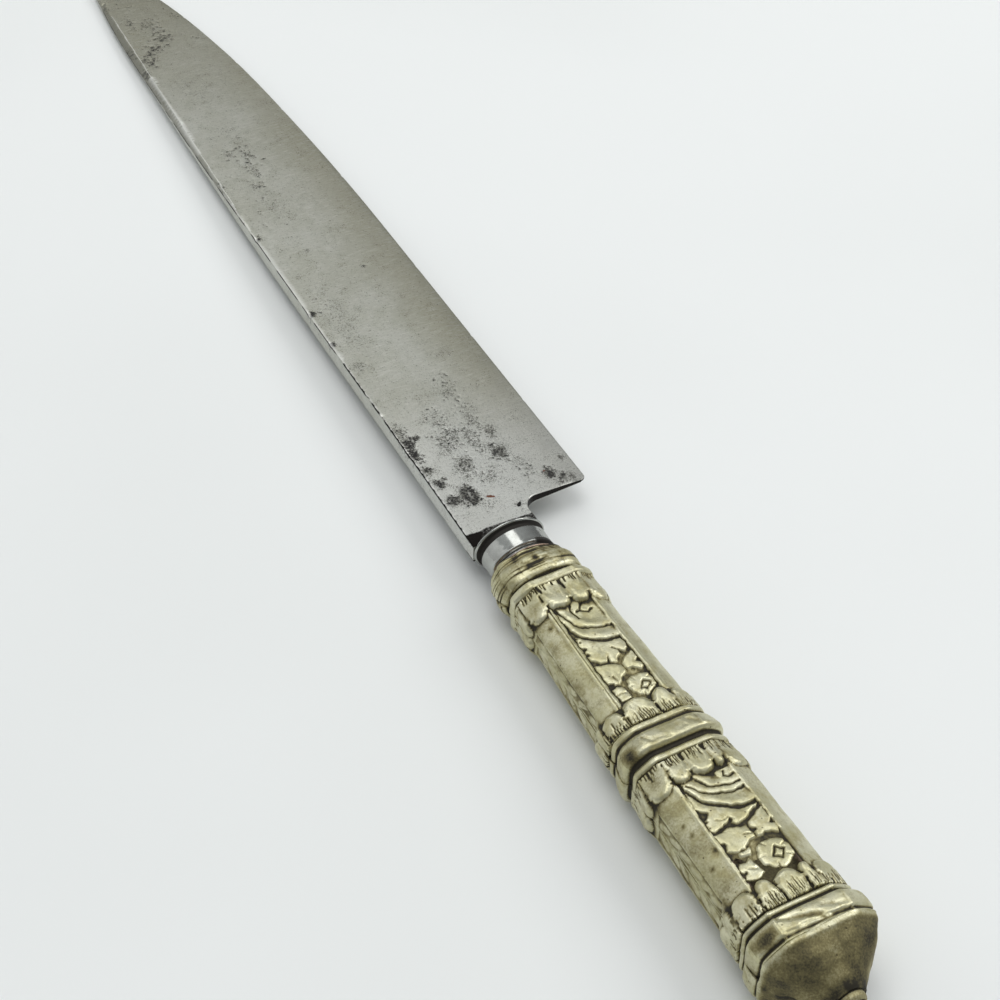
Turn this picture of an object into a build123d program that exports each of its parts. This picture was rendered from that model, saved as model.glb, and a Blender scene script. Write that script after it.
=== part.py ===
from build123d import *
import os

# Bread knife: a plain straight-edged steel blade on a hollow, die-struck octagonal handle.
#
# Frame: +X runs along the handle's axis towards the blade's tip, +Y towards the spine and +Z out
# of the blade's upper flank. The origin is on the handle's axis at the shoulder, where the blade
# meets the front face of its bolster. Everything in front of the shoulder is blade (x > 0) and
# everything behind it is bolster and handle (x < 0). Lengths are in millimetres.

os.makedirs("parts", exist_ok=True)

# ---------------------------------------------------------------- driving dimensions
# Blade outline, in the XY plane
TIP = (242.5, -1.4)            # point of the blade
SPINE_ROOT_Y = 7.4             # spine above the axis at the shoulder
SPINE_BREAK = (165.0, 5.0)     # the straight back ends here and its clip begins
SPINE_CLIP = (209.0, 3.1)      # a point on the curved clip
TIP_BACK_TANGENT = (1.0, -0.22)   # heading of the back where it arrives at the point
TIP_EDGE_TANGENT = (-1.0, -0.50)  # heading of the edge where it leaves the point
EDGE_Y = -21.4                 # straight part of the cutting edge
EDGE_BREAK_X = 98.0            # the edge is straight up to here, then it sweeps up
EDGE_BELLY = [(145.0, -20.2), (181.5, -17.4), (212.5, -11.8)]
HEEL_X = 8.0                   # back of the heel
HEEL_CORNER_R = 1.2            # rounded corner between edge and heel
NECK_Y = -7.1                  # lower side of the neck between heel and shoulder
NECK_R = 3.2                   # inside corner between heel and neck

# Blade thickness: each flank is a wedge plane that thins towards the edge and the tip
SPINE_HALF = 2.0               # half thickness of the back at the shoulder
CROSS_TAPER = 0.055            # half thickness lost per mm from spine to edge
LENGTH_TAPER = 0.0025          # half thickness lost per mm from shoulder to tip
FRONT_X = 135.0                # in front of this station the taper to the tip is steeper
FRONT_TAPER = 0.0050
CLIP_START = (118.0, 5.8)      # the bevel along the front of the back runs between these
CLIP_END = (208.5, 1.9)
CLIP_THIN_HALF = 0.4           # half thickness that the bevel leaves on the back

# Tang: a rod drawn down from the shoulder, riveted over at the far end of the handle
TANG_SECTIONS = [(0.0, 8.0, 2.7), (-40.0, 5.0, 3.2), (-109.0, 2.6, 2.6)]
RIVET_R = 1.3                  # round end of the tang
RIVET_HEAD_R = 1.7
RIVET_HEAD_T = 0.35

# Bolster members: (half width in Y, half height in Z)
COLLAR = (7.45, 5.7)
GROOVE = (6.3, 4.8)
BARREL = (6.75, 5.35)
REAR_NECK = (6.0, 4.6)
SPIGOT = (5.6, 4.2)
GROOVE_X = -1.3                # front ends of the members behind the collar
BARREL_X = -2.5
REAR_NECK_X = -6.5
SPIGOT_X = -7.6
COLLAR_ROUND = 0.45
BARREL_ROUND = 0.2
RIM_MARGIN = 0.5               # the collar's rims are wider than the barrel's by more than this
RIM_MATCH = 0.1

# Mouth washer between the bolster and the handle
WASHER = (6.75, 5.4)
MOUTH_X = -8.1                 # front end of the handle

# Handle section: an octagon with wide flats on top, bottom and both sides
TOP_FLAT = 0.56                # width of the top flat over the whole width
SIDE_FLAT = 0.56               # height of the side flat over the whole height
SEAT_X = -15.6                 # groove where the round bead meets the octagonal part
# Round front bead: (station, half width, half height)
BEAD = [(MOUTH_X, 6.9, 5.5), (-9.4, 7.9, 6.3), (-11.6, 8.4, 6.7), (-13.8, 8.2, 6.5), (SEAT_X, 7.6, 5.9)]
# Octagonal mouldings behind the bead: (station, half width, half height)
CAP_X = -103.5                 # joint between the shells and the pommel cap
MOULDINGS = [
    (SEAT_X, 7.6, 5.9),
    (-16.6, 8.0, 6.2),         # thin ridge
    (-22.0, 8.4, 6.4),         # front leaf border
    (-24.0, 7.65, 5.4),        # front panel
    (-49.0, 8.4, 5.6),
    (-51.5, 9.0, 6.5),         # leaf border
    (-56.3, 9.2, 6.8),
    (-59.0, 9.95, 7.6),        # middle ring
    (-61.6, 9.0, 6.7),
    (-63.0, 9.4, 7.0),
    (-68.5, 9.4, 7.2),         # leaf border
    (-70.5, 9.2, 6.5),         # rear panel
    (-90.0, 9.5, 6.8),
    (-92.5, 10.1, 7.7),        # leaf border
    (-99.0, 10.4, 8.1),
    (-101.0, 11.0, 8.9),       # pommel ring
    (CAP_X, 11.0, 8.9),
]
CAP = [(CAP_X, 10.9, 8.8), (-105.0, 10.9, 8.8), (-106.5, 9.6, 7.8), (-108.5, 7.2, 6.1), (-111.0, 4.7, 4.4)]
CAP_END = (-112.6, 3.1, 3.1)
# Hollow inside the shells and the cap, from the end of the bolster's spigot to the cap's floor
CAVITY_X = -12.5
SOLDER_RING_X = -98.0          # the cap's ring of solder lies between these stations
SOLDER_RING_END_X = -104.5
RING_SECTION = (9.1, 6.7)
CAVITY = [(CAVITY_X, 6.4, 4.5), (-50.0, 7.3, 4.7), (-71.0, 8.1, 5.6), (SOLDER_RING_X, *RING_SECTION)]
CAP_CAVITY = [(SOLDER_RING_END_X, *RING_SECTION), (-107.5, 7.2, 5.4), (-111.4, 3.0, 2.9)]
SOLDER_T = 0.6                 # thickness of the solder inside the joints
SEAM_SOLDER_HALF = 0.7         # half height of the two seam fillets

# Dished button under the riveted end of the tang
BUTTON_R = 2.6
BUTTON_T = 1.6
BUTTON_DISH_R = 1.9
BUTTON_DISH_DEPTH = 0.7
BUTTON_FLOOR_X = CAP_END[0] - BUTTON_T + BUTTON_DISH_DEPTH


# ---------------------------------------------------------------- shared shapes
def across(x):
    """Plane square to the handle's axis at station x: local X is +Y and local Y is +Z."""
    return Plane.YZ.offset(x)


def octagon(half_w, half_h, wall=0.0, mode=Mode.ADD):
    """Handle section with its corners on wide flats; wall draws the flats in."""
    top = TOP_FLAT * half_w
    side = SIDE_FLAT * half_h
    w = half_w - wall
    h = half_h - wall
    quarter = [(top, h), (w, side)]
    right = quarter + [(y, -z) for y, z in quarter[::-1]]
    left = [(-y, -z) for y, z in right]
    return Polygon(*right, *left, align=None, mode=mode)


def octagonal_loft(sections):
    """Loft straight from one octagonal section to the next inside the current part."""
    faces = []
    for x, half_w, half_h in sections:
        with BuildSketch(across(x)) as section:
            octagon(half_w, half_h)
        faces.append(section.sketch.face())
    return loft(faces, ruled=True)


def flank_half(x, y):
    """Half thickness of the main wedge at a point of the blade."""
    return SPINE_HALF - LENGTH_TAPER * x - CROSS_TAPER * (SPINE_ROOT_Y - y)


def flank_plane(x, length_taper, face):
    """Wedge plane through the spine line at station x; face is +1 on top and -1 below."""
    origin = (x, SPINE_ROOT_Y, face * flank_half(x, SPINE_ROOT_Y))
    return Plane(origin=origin, z_dir=(length_taper, -CROSS_TAPER, face))


def clip_plane(face):
    """Plane of the clip bevel: through its line on the flank and down to the thin back."""
    start = Vector(*CLIP_START, face * flank_half(*CLIP_START))
    end = Vector(*CLIP_END, face * flank_half(*CLIP_END))
    back = Vector(*SPINE_BREAK, face * CLIP_THIN_HALF)
    return Plane(origin=start, x_dir=end - start, z_dir=(end - start).cross(back - start) * face)


# ---------------------------------------------------------------- blade with its tang
with BuildPart() as blade:
    with BuildSketch(Plane.XY):
        with BuildLine():
            spine = Line((0, SPINE_ROOT_Y), SPINE_BREAK)
            Spline(SPINE_BREAK, SPINE_CLIP, TIP, tangents=[spine % 1, TIP_BACK_TANGENT])
            Spline(TIP, *EDGE_BELLY[::-1], (EDGE_BREAK_X, EDGE_Y), tangents=[TIP_EDGE_TANGENT, (-1.0, 0.0)])
            edge = Line((EDGE_BREAK_X, EDGE_Y), (HEEL_X + HEEL_CORNER_R, EDGE_Y))
            corner = TangentArc(edge @ 1, (HEEL_X, EDGE_Y + HEEL_CORNER_R), tangent=edge % 1)
            heel = Line(corner @ 1, (HEEL_X, NECK_Y - NECK_R))
            TangentArc(heel @ 1, (HEEL_X - NECK_R, NECK_Y), tangent=heel % 1)
            Polyline((HEEL_X - NECK_R, NECK_Y), (0, NECK_Y), (0, SPINE_ROOT_Y))
        make_face()
    extrude(amount=SPINE_HALF, both=True)
    for face in (1, -1):
        split(bisect_by=flank_plane(0, LENGTH_TAPER, face), keep=Keep.BOTTOM)
        split(bisect_by=flank_plane(FRONT_X, FRONT_TAPER, face), keep=Keep.BOTTOM)
        split(bisect_by=clip_plane(face), keep=Keep.BOTTOM)
    for x, width, thickness in TANG_SECTIONS:
        with BuildSketch(across(x)):
            Rectangle(width, thickness)
    loft(ruled=True)
    tang_end_x = TANG_SECTIONS[-1][0]
    with BuildSketch(across(tang_end_x)):
        Circle(RIVET_R)
    extrude(amount=BUTTON_FLOOR_X - tang_end_x)
    with BuildSketch(across(BUTTON_FLOOR_X)):
        Circle(RIVET_HEAD_R)
    extrude(amount=-RIVET_HEAD_T)

# ---------------------------------------------------------------- bolster on the tang
with BuildPart() as bolster:
    members = [(0.0, COLLAR), (GROOVE_X, GROOVE), (BARREL_X, BARREL), (REAR_NECK_X, REAR_NECK),
               (SPIGOT_X, SPIGOT), (CAVITY_X, None)]
    for (front, half), (rear, _) in zip(members, members[1:]):
        with BuildSketch(across(front)):
            Ellipse(*half)
        extrude(amount=rear - front)
    rims = bolster.edges().filter_by(GeomType.ELLIPSE)
    fillet(rims.filter_by(lambda rim: rim.bounding_box().size.Y > 2 * BARREL[0] + RIM_MARGIN), COLLAR_ROUND)
    rims = bolster.edges().filter_by(GeomType.ELLIPSE)
    fillet(rims.filter_by(lambda rim: abs(rim.bounding_box().size.Y - 2 * BARREL[0]) < RIM_MATCH), BARREL_ROUND)
    add(blade.part, mode=Mode.SUBTRACT)

# ---------------------------------------------------------------- washer at the handle's mouth
with BuildPart() as mouth_washer:
    with BuildSketch(across(SPIGOT_X)):
        Ellipse(*WASHER)
        Ellipse(*SPIGOT, mode=Mode.SUBTRACT)
    extrude(amount=MOUTH_X - SPIGOT_X)

# ---------------------------------------------------------------- hollow handle and cap
with BuildPart() as cavity:
    octagonal_loft(CAVITY + CAP_CAVITY)

with BuildPart() as handle_form:
    for x, half_w, half_h in BEAD:
        with BuildSketch(across(x)):
            Ellipse(half_w, half_h)
    loft()
    octagonal_loft(MOULDINGS)
    with BuildSketch(across(MOUTH_X)):
        Ellipse(*SPIGOT)
    extrude(amount=CAVITY_X - MOUTH_X, mode=Mode.SUBTRACT)
    add(cavity.part, mode=Mode.SUBTRACT)

# The two shells are struck in dies and meet on the plane of the blade
with BuildPart() as handle_shell_upper:
    add(handle_form.part)
    split(bisect_by=Plane.XY, keep=Keep.TOP)

with BuildPart() as handle_shell_lower:
    add(handle_form.part)
    split(bisect_by=Plane.XY, keep=Keep.BOTTOM)

with BuildPart() as pommel_cap:
    octagonal_loft(CAP + [CAP_END])
    add(cavity.part, mode=Mode.SUBTRACT)
    add(blade.part, mode=Mode.SUBTRACT)

# ---------------------------------------------------------------- solder inside the joints


def seam_solder(side):
    """Fillet of solder along the inside of one seam; side is +1 at the spine, -1 at the edge."""
    with BuildPart() as strip:
        with BuildSketch(Plane.XY):
            outer = [(x, side * half_w) for x, half_w, half_h in CAVITY]
            inner = [(x, y - side * SOLDER_T) for x, y in outer[::-1]]
            Polygon(*outer, *inner, align=None)
        extrude(amount=SEAM_SOLDER_HALF, both=True)
    return strip


seam_solder_spine = seam_solder(1)
seam_solder_edge = seam_solder(-1)

with BuildPart() as cap_solder_ring:
    with BuildSketch(across(SOLDER_RING_X)):
        octagon(*RING_SECTION)
        octagon(*RING_SECTION, wall=SOLDER_T, mode=Mode.SUBTRACT)
    extrude(amount=SOLDER_RING_END_X - SOLDER_RING_X)

# ---------------------------------------------------------------- resin round the tang
with BuildPart() as handle_filling:
    add(cavity.part)
    for piece in (blade, seam_solder_spine, seam_solder_edge, cap_solder_ring):
        add(piece.part, mode=Mode.SUBTRACT)

# ---------------------------------------------------------------- button under the rivet
with BuildPart() as end_button:
    with BuildSketch(across(CAP_END[0])):
        Circle(BUTTON_R)
    extrude(amount=-BUTTON_T)
    with BuildSketch(across(CAP_END[0] - BUTTON_T)):
        Circle(BUTTON_DISH_R)
    extrude(amount=BUTTON_DISH_DEPTH, mode=Mode.SUBTRACT)
    with BuildSketch(across(CAP_END[0])):
        Circle(RIVET_R)
    extrude(amount=-BUTTON_T, mode=Mode.SUBTRACT)

# ---------------------------------------------------------------- one file per piece
pieces = {
    "blade": blade,
    "bolster": bolster,
    "mouth_washer": mouth_washer,
    "handle_shell_upper": handle_shell_upper,
    "handle_shell_lower": handle_shell_lower,
    "pommel_cap": pommel_cap,
    "seam_solder_spine": seam_solder_spine,
    "seam_solder_edge": seam_solder_edge,
    "cap_solder_ring": cap_solder_ring,
    "handle_filling": handle_filling,
    "end_button": end_button,
}
for name, piece in pieces.items():
    piece.part.label = name
    export_step(piece.part, f"parts/{name}.step")
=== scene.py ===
import math

import bpy
import numpy as np
from mathutils import Matrix, Vector
from mathutils.geometry import delaunay_2d_cdt


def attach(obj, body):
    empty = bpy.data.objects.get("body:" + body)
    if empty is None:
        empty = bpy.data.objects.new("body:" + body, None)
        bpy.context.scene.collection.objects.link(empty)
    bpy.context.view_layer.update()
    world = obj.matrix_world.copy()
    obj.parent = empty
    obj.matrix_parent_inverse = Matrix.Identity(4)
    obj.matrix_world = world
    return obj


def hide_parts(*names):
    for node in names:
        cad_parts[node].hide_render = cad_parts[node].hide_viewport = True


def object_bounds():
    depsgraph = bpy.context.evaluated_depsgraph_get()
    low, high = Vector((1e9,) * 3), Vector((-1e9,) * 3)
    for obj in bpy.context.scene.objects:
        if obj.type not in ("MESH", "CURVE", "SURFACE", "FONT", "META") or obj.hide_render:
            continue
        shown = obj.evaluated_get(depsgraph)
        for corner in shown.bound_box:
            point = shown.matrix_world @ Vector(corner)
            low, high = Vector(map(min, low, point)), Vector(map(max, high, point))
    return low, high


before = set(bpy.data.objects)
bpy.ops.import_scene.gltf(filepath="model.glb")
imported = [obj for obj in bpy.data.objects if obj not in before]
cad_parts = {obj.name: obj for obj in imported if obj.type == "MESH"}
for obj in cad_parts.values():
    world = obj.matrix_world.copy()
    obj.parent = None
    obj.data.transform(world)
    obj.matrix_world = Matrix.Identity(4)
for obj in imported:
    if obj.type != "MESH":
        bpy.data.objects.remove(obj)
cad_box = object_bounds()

# Lengths in the tables are millimetres in the CAD frame: +X to the tip, +Y to the spine, +Z out of
# the upper flank. add_piece() turns them into metres.
MM = 0.001

# ---- handle: section along the axis
TOP_FLAT = 0.56                # width of the top flat over the whole width
SIDE_FLAT = 0.56               # height of the side flat over the whole height
# (station, half width, half height) of the smooth body under the leaf borders, turned rings included
BODY = [
    (-8.1, 6.9, 5.4), (-8.5, 7.3, 5.75), (-8.75, 7.15, 5.6), (-9, 7.5, 5.85), (-9.25, 7.35, 5.7),
    (-9.55, 7.8, 6.05), (-9.8, 7.7, 5.95), (-10.3, 8.2, 6.3), (-11.1, 8.6, 6.55), (-12.2, 8.75, 6.66),
    (-13.4, 8.7, 6.62), (-14.4, 8.4, 6.45), (-14.95, 7.9, 6), (-15.3, 7.15, 5.3), (-15.6, 7.2, 5.35),
    (-15.95, 7.95, 6.05), (-16.4, 8.2, 6.3), (-17.5, 8.2, 6.3), (-17.8, 8, 6.1), (-18, 7.65, 5.75),
    (-18.6, 7.6, 5.6), (-22, 7.6, 5.42), (-24, 7.65, 5.4), (-49, 8.4, 5.6), (-53.6, 8.5, 5.7),
    (-53.8, 8.3, 5.6), (-54.1, 8.8, 6.3), (-54.5, 9.1, 6.65), (-55.3, 9.1, 6.65), (-55.5, 8.7, 6.2),
    (-55.9, 8.7, 6.2), (-56.2, 9, 6.6), (-56.9, 9.4, 7), (-58.2, 9.75, 7.35), (-59.4, 9.95, 7.6),
    (-60, 9.85, 7.5), (-60.35, 9.4, 7), (-60.6, 8.7, 6.25), (-61.3, 8.7, 6.2), (-61.6, 9.1, 6.7),
    (-62.1, 9.3, 6.95), (-62.8, 9.25, 6.9), (-62.98, 8.8, 6.35), (-63.2, 8.8, 6.3), (-69, 9.2, 6.5),
    (-70.5, 9.25, 6.55), (-90, 9.45, 6.75), (-96.6, 9.55, 6.95), (-96.8, 9.4, 6.8), (-97, 9.9, 7.5),
    (-97.4, 10.2, 7.85), (-97.9, 10.15, 7.8), (-98.1, 9.7, 7.3), (-98.6, 9.7, 7.3), (-98.8, 10.3, 8.1),
    (-99.2, 10.75, 8.6), (-99.9, 10.95, 8.8), (-101, 11, 8.88), (-102.3, 11, 8.88), (-102.6, 10.8, 8.7),
    (-102.8, 10.45, 8.35), (-103, 10.5, 8.4), (-103.2, 10.8, 8.65), (-103.5, 10.85, 8.7),
]
BODY_SOFTNESS = 0.09           # rounding of the body's profile along the axis
CHAMFER_CROWN = 0.34           # bulge of the worn chamfers
ELLIPSE_UNTIL_X = -15.0        # in front of this station the section is oval
OCTAGON_FROM_X = -16.4
# (station, radius) of the octagon's worn corners
CORNER_R = [(-8, 0.5), (-24, 0.7), (-53, 0.9), (-56.3, 3.2), (-60.3, 3), (-61.4, 1.4), (-64, 0.9),
            (-90, 0.9), (-97.5, 1.3), (-99, 2.6), (-102, 2.2), (-103.5, 1.6)]
# (station, half width, half height) of the hollow inside
INNER = [(-8.1, 5.7, 4.3), (-12.5, 6.1, 4.4), (-50, 7.3, 4.7), (-71, 8.1, 5.6), (-98, 9.1, 6.7),
         (-103.5, 9.1, 6.7)]
RIDGE_RISE, RIDGE_INSET, RIDGE_WIDTH = 0.17, 0.32, 0.27     # of a chamfer's bright ridge beside the panels
# Random unevenness: (height, reach in rows, reach in columns) of each wave
WARP_ALONG, WARP_ACROSS = [(0.10, 5, 5), (0.05, 1.8, 1.8)], [(0.08, 5, 5), (0.045, 1.8, 1.8)]
SKIN_WAVES = [(0.055, 18, 9), (0.024, 6, 4), (0.005, 1.2, 1.2)]
TARNISH_WAVES = [(0.08, 26, 12), (0.06, 7, 5)]
SEAM_DEPTH = 0.10              # the seam's fine groove
DENT_COUNT, DENT_SIZES, DENT_DEPTHS, COLUMN_PITCH = 110, (0.25, 0.8), (0.02, 0.07), 0.16
INNER_CORNER_R, INNER_PATINA = 0.3, 0.8
# (from, to, row pitch): rows are close together where the relief is fine
ROW_ZONES = [
    (-8.1, -15, 0.16), (-15, -30, 0.13), (-30, -47, 0.155), (-47, -77, 0.13),
    (-77, -89, 0.155), (-89, -103.5, 0.13),
]
# Faces of the upper half section in order, from the edge-side seam to the spine-side seam, and their columns
EDGE_SIDE, EDGE_CHAMFER, TOP, CHAMFER, SPINE_SIDE = range(5)
FACE_COLUMNS = (13, 20, 76, 20, 13)

# Leaf borders: the lobes' roots lie against a ring, and their free ends face a panel. Lobes of the top face are
# (low edge, high edge, tip station); each side and chamfer has one, up to the station given. Splits are
# (place across, length), and the hatching is (longest cut, share of the cuts that are made).
BORDERS = [
    dict(root=-18, direction=-1, rise=1, root_rise=0.5, bow=1.5, top=[(-4.6, -0.7, -24.3), (-0.7, 4.2, -24.2)],
         side=-24.4, chamfer=-25, splits=[(-0.68, 2.6), (3.7, 1.9)], hatch=(1.9, 0.6)),
    dict(root=-53.9, direction=1, rise=0.93, root_rise=0.85, bow=2.3, top=[(-4.9, -1.2, -48.5), (-1.2, 4.6, -48.6)],
         side=-49, chamfer=-49.2, splits=[(-1.25, 2.6)], hatch=(3, 0.9)),
    dict(root=-63.1, direction=-1, rise=0.95, root_rise=0.62, bow=1.7,
         top=[(-5.6, -2.95, -68.6), (-2.95, 1.35, -68.7), (1.35, 5.5, -68.8)],
         side=-69.2, chamfer=-69.6, splits=[(-2.95, 1.6), (1.35, 1.5)], hatch=(2.6, 0.85)),
    dict(root=-96.7, direction=1, rise=0.97, root_rise=0.9, bow=2.4,
         top=[(-6, -3.2, -91), (-3.2, 1.7, -91), (1.7, 5.8, -91.1)],
         side=-91.1, chamfer=-91.2, splits=[(-3.2, 2.6), (1.7, 2.4)], hatch=(3.6, 0.95)),
]
HATCH_PITCH, HATCH_WIDTH, HATCH_DEPTH = 0.44, 0.12, 0.42
SPLIT_WIDTH, SPLIT_DEPTH = 0.24, 0.7

# Panels of scrolls, leaves and one flower on the top face. Every line and outline is (x, y).
GROUND_DEPTH = 0.42
PANEL_1 = dict(
    start=-23.6, end=-49.4, low=[(-24, -4.15), (-49, -4.45)], high=[(-24, 3.75), (-49, 3.95)],
    bands=[
        [(-27.6, 3.6), (-29.6, 3.2), (-31.8, 2.2), (-33.2, 0.4), (-34, -1.6), (-34.4, -4.1)],
        [(-24.6, 3.2), (-26.7, 2.7), (-28.8, 1.7), (-30.3, 0.1), (-31, -1.8), (-31.2, -4.1)],
    ],
    leaves=[
        [(-34.9, -4), (-34.6, -1.6), (-33.8, 0.5), (-32.4, 2.2), (-31.2, 3), (-31.6, 3.5), (-33.4, 3.7),
         (-34, 3.4), (-34.4, 2.7), (-34.9, 3.5), (-35.6, 3.6), (-35.9, 3), (-36.4, 3.6), (-37.3, 3.4),
         (-37.9, 2.7), (-38.5, 2.4), (-38.7, 1.6), (-38.8, 0.95), (-37.6, 0.45), (-38.9, 0.55), (-39.7, -0.2),
         (-39.6, -0.7), (-38.8, -1.2), (-38.2, -1.9), (-37.2, -2.1), (-38.1, -2.8), (-37.6, -3.8), (-36.4, -4.1)],
        [(-38.8, 3.5), (-38.9, 2.7), (-39.2, 1.4), (-39.5, 0.5), (-40.2, -0.2), (-40.6, -0.8), (-41.5, -0.85),
         (-42.4, -0.6), (-43, 0.1), (-43.8, 0.9), (-44.4, 1.8), (-44.3, 2.6), (-43.6, 2.6), (-43.4, 3.4),
         (-42, 3.7), (-40.3, 3.6)],
        [(-38.5, -4), (-38.8, -3), (-39.3, -2), (-40.2, -1.2), (-41.4, -1.1), (-42.1, -1.3),
         (-42, -2.1), (-42.4, -2.7), (-42.8, -3.3), (-42.6, -4.1), (-41.7, -4.2), (-41.1, -3.6), (-40.5, -4.2)],
        [(-45, 1.6), (-44.8, 2.6), (-45.1, 3.4), (-46.2, 3.7), (-47.2, 3.5), (-48.1, 3.4), (-48.3, 2.3),
         (-48, 1.3), (-47, 1.3), (-46, 1.4)],
        [(-23, 2), (-25, 1.7), (-26.2, 0.7), (-25.7, -0.2), (-25.9, -1), (-25, -1.6), (-23, -2.2)],
    ],
    cuts=[([(-24, 0.4), (-25.8, 0.9), (-26.4, 0.8), (-27.7, 0.4)], 0.18, 0.34),
          ([(-25.9, -0.2), (-25.7, -0.9), (-24.3, -1.8)], 0.18, 0.36),
          ([(-25.9, -1), (-26.6, -2), (-26.2, -3)], 0.22, 0.42), ([(-36.2, -1.2), (-38.2, -2.7)], 0.17, 0.3),
          ([(-43.4, 1.6), (-42.4, 1.9)], 0.16, 0.24), ([(-46.4, 3.4), (-46.6, 1.8)], 0.15, 0.16)],
    nicks=[(-34.4, 3.3, 0.42), (-35.9, 3.3, 0.3), (-38.5, 2.6, 0.34), (-38.8, 0.75, 0.3), (-38.3, -2.6, 0.34),
           (-37.9, -3.7, 0.28), (-43.7, 3.1, 0.36), (-44.4, 3.2, 0.3), (-41.1, -4.1, 0.32), (-42.4, -2, 0.26),
           (-31.6, 3.2, 0.28), (-32.7, 3.1, 0.22)],
    flower=(-45.9, -1.8, 2.5, 0.75), core=(-46.4, -2.3, 0.95),
)
PANEL_2 = dict(
    start=-67.8, end=-92.2, low=[(-69, -5), (-83, -5.4), (-91, -5.7)], high=[(-69, 4.95), (-91, 5.2)],
    bands=[
        [(-70.2, 4.2), (-73, 3.2), (-74.9, 1.3), (-76.1, -0.9), (-76.8, -2.9), (-76.7, -5.3)],
        [(-69.4, 3.6), (-71.1, 2.4), (-72.4, 1.3), (-73.3, -0.4), (-73.8, -2.3), (-73.6, -5.3)],
        [(-69, 1.6), (-71.2, 0.4), (-72.1, -1.2), (-72.5, -2.9), (-72.3, -5.3)],
    ],
    leaves=[
        [(-77.3, -5), (-77.4, -2.8), (-76.7, -0.7), (-75.5, 1.4), (-74.1, 2.9), (-72.3, 4), (-70.6, 4.5),
         (-72, 5), (-74.2, 5), (-75.2, 4.2), (-75.9, 3.3), (-76.6, 4.2), (-76.9, 4.9), (-77.2, 4.3),
         (-77.5, 4.9), (-79.2, 5), (-79.6, 4.3), (-79.3, 3), (-79.1, 1.8), (-78.1, 0.8), (-79.3, 0.8),
         (-79.8, 0.2), (-79.8, -0.6), (-79.5, -1.5), (-78.9, -2.4), (-78.3, -3.3), (-77.8, -4.7)],
        [(-80, 5), (-80.1, 3.2), (-79.8, 1.9), (-80.3, 0.8), (-80.5, -0.3), (-80.7, -0.9), (-81.6, -0.8),
         (-82.4, -1.1), (-83.2, -0.8), (-83.5, 0), (-84.1, 1.1), (-84.7, 1.7), (-84.5, 2.4), (-84.8, 3.1),
         (-84.2, 3.9), (-83.8, 4.8), (-82.5, 4.3), (-82, 5)],
        [(-78.3, -5.2), (-78.9, -3.9), (-79.6, -2.7), (-80.3, -1.6), (-81.1, -1.3), (-82, -1.9), (-82.3, -1.4),
         (-83.3, -1.4), (-83.6, -2.2), (-83.2, -2.9), (-83.6, -3.9), (-84.3, -4.8), (-83.4, -5.4), (-82.3, -5.2),
         (-81.9, -4.6), (-81.2, -5.3), (-79.8, -5.2)],
        [(-86.8, 4.2), (-86.9, 3.1), (-86.4, 2.2), (-87.3, 2), (-88.6, 1.7), (-89.9, 1.4), (-90.4, 2.3),
         (-90.6, 4.2), (-90, 5.1), (-89.2, 4.5), (-88.6, 4.9), (-88, 5.1), (-87.4, 4.8)],
        [(-84.9, 3.3), (-85.5, 3.3), (-85.9, 2.2), (-86.1, 1.6), (-85.4, 0.9), (-84.7, 1.1)],
        [(-69, -1.7), (-70.2, -1.7), (-71.2, -2.4), (-71.6, -3.6), (-71.3, -5), (-69, -5.2)],
    ],
    cuts=[([(-69.6, -3.4), (-70.5, -2.9), (-70.9, -3.6), (-70.5, -4.6)], 0.2, 0.36),
          ([(-77.9, 0.9), (-78.2, 2.2), (-77.6, 3)], 0.14, 0.14), ([(-82.3, -0.9), (-82.2, 0.6)], 0.14, 0.2),
          ([(-88.6, 2.2), (-88.4, 3.6)], 0.2, 0.12)],
    nicks=[(-75.9, 4.6, 0.6), (-75.9, 3.9, 0.36), (-77.1, 4.7, 0.28), (-79.7, 3.2, 0.34), (-78.6, 0.8, 0.3),
           (-79.8, 0.9, 0.3), (-85.4, 4.6, 0.75), (-85.9, 3.9, 0.45), (-82.3, 4.6, 0.26), (-81.9, -1.7, 0.34),
           (-82, -5, 0.3), (-84.3, -3.2, 0.4), (-89, 4.3, 0.26), (-77.9, -4.9, 0.3), (-79.3, 2.4, 0.24)],
    flower=(-87.4, -2.1, 3.05, 0.9), core=(-87.6, -2.6, 1.15),
)

# Sprays of slanting leaves on the sides: (start, end), and a leaf's half length and half width
SPRAY_SPANS, SPRAY_LEAF = [(-25.2, -48.2), (-70.4, -90.2)], (2.1, 0.85)
SPRAY_LEAVES, SPRAY_SLANT, SPRAY_DEPTH = 6, 0.5, 0.17

# Folds hammered into the rings of the top face: (line, width, depth)
FOLDS = [([(-98.9, 6.4), (-100.3, 3.2), (-101.8, -0.9)], 0.6, 0.38), ([(-102.2, 5.6), (-102.5, -4.8)], 0.28, 0.22),
         ([(-100.2, -2), (-101.6, -5.4)], 0.5, 0.12),
         ([(-57.2, 5.6), (-58.9, 3.9), (-59.6, 0.6)], 0.5, 0.16), ([(-57.4, -3.8), (-58.9, -4.9)], 0.6, 0.14),
         ([(-11.2, 3.4), (-12.6, 1.6), (-12.2, -1.4)], 0.6, 0.16), ([(-14.2, -2.2), (-13.4, -4.4)], 0.5, 0.14)]

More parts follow.
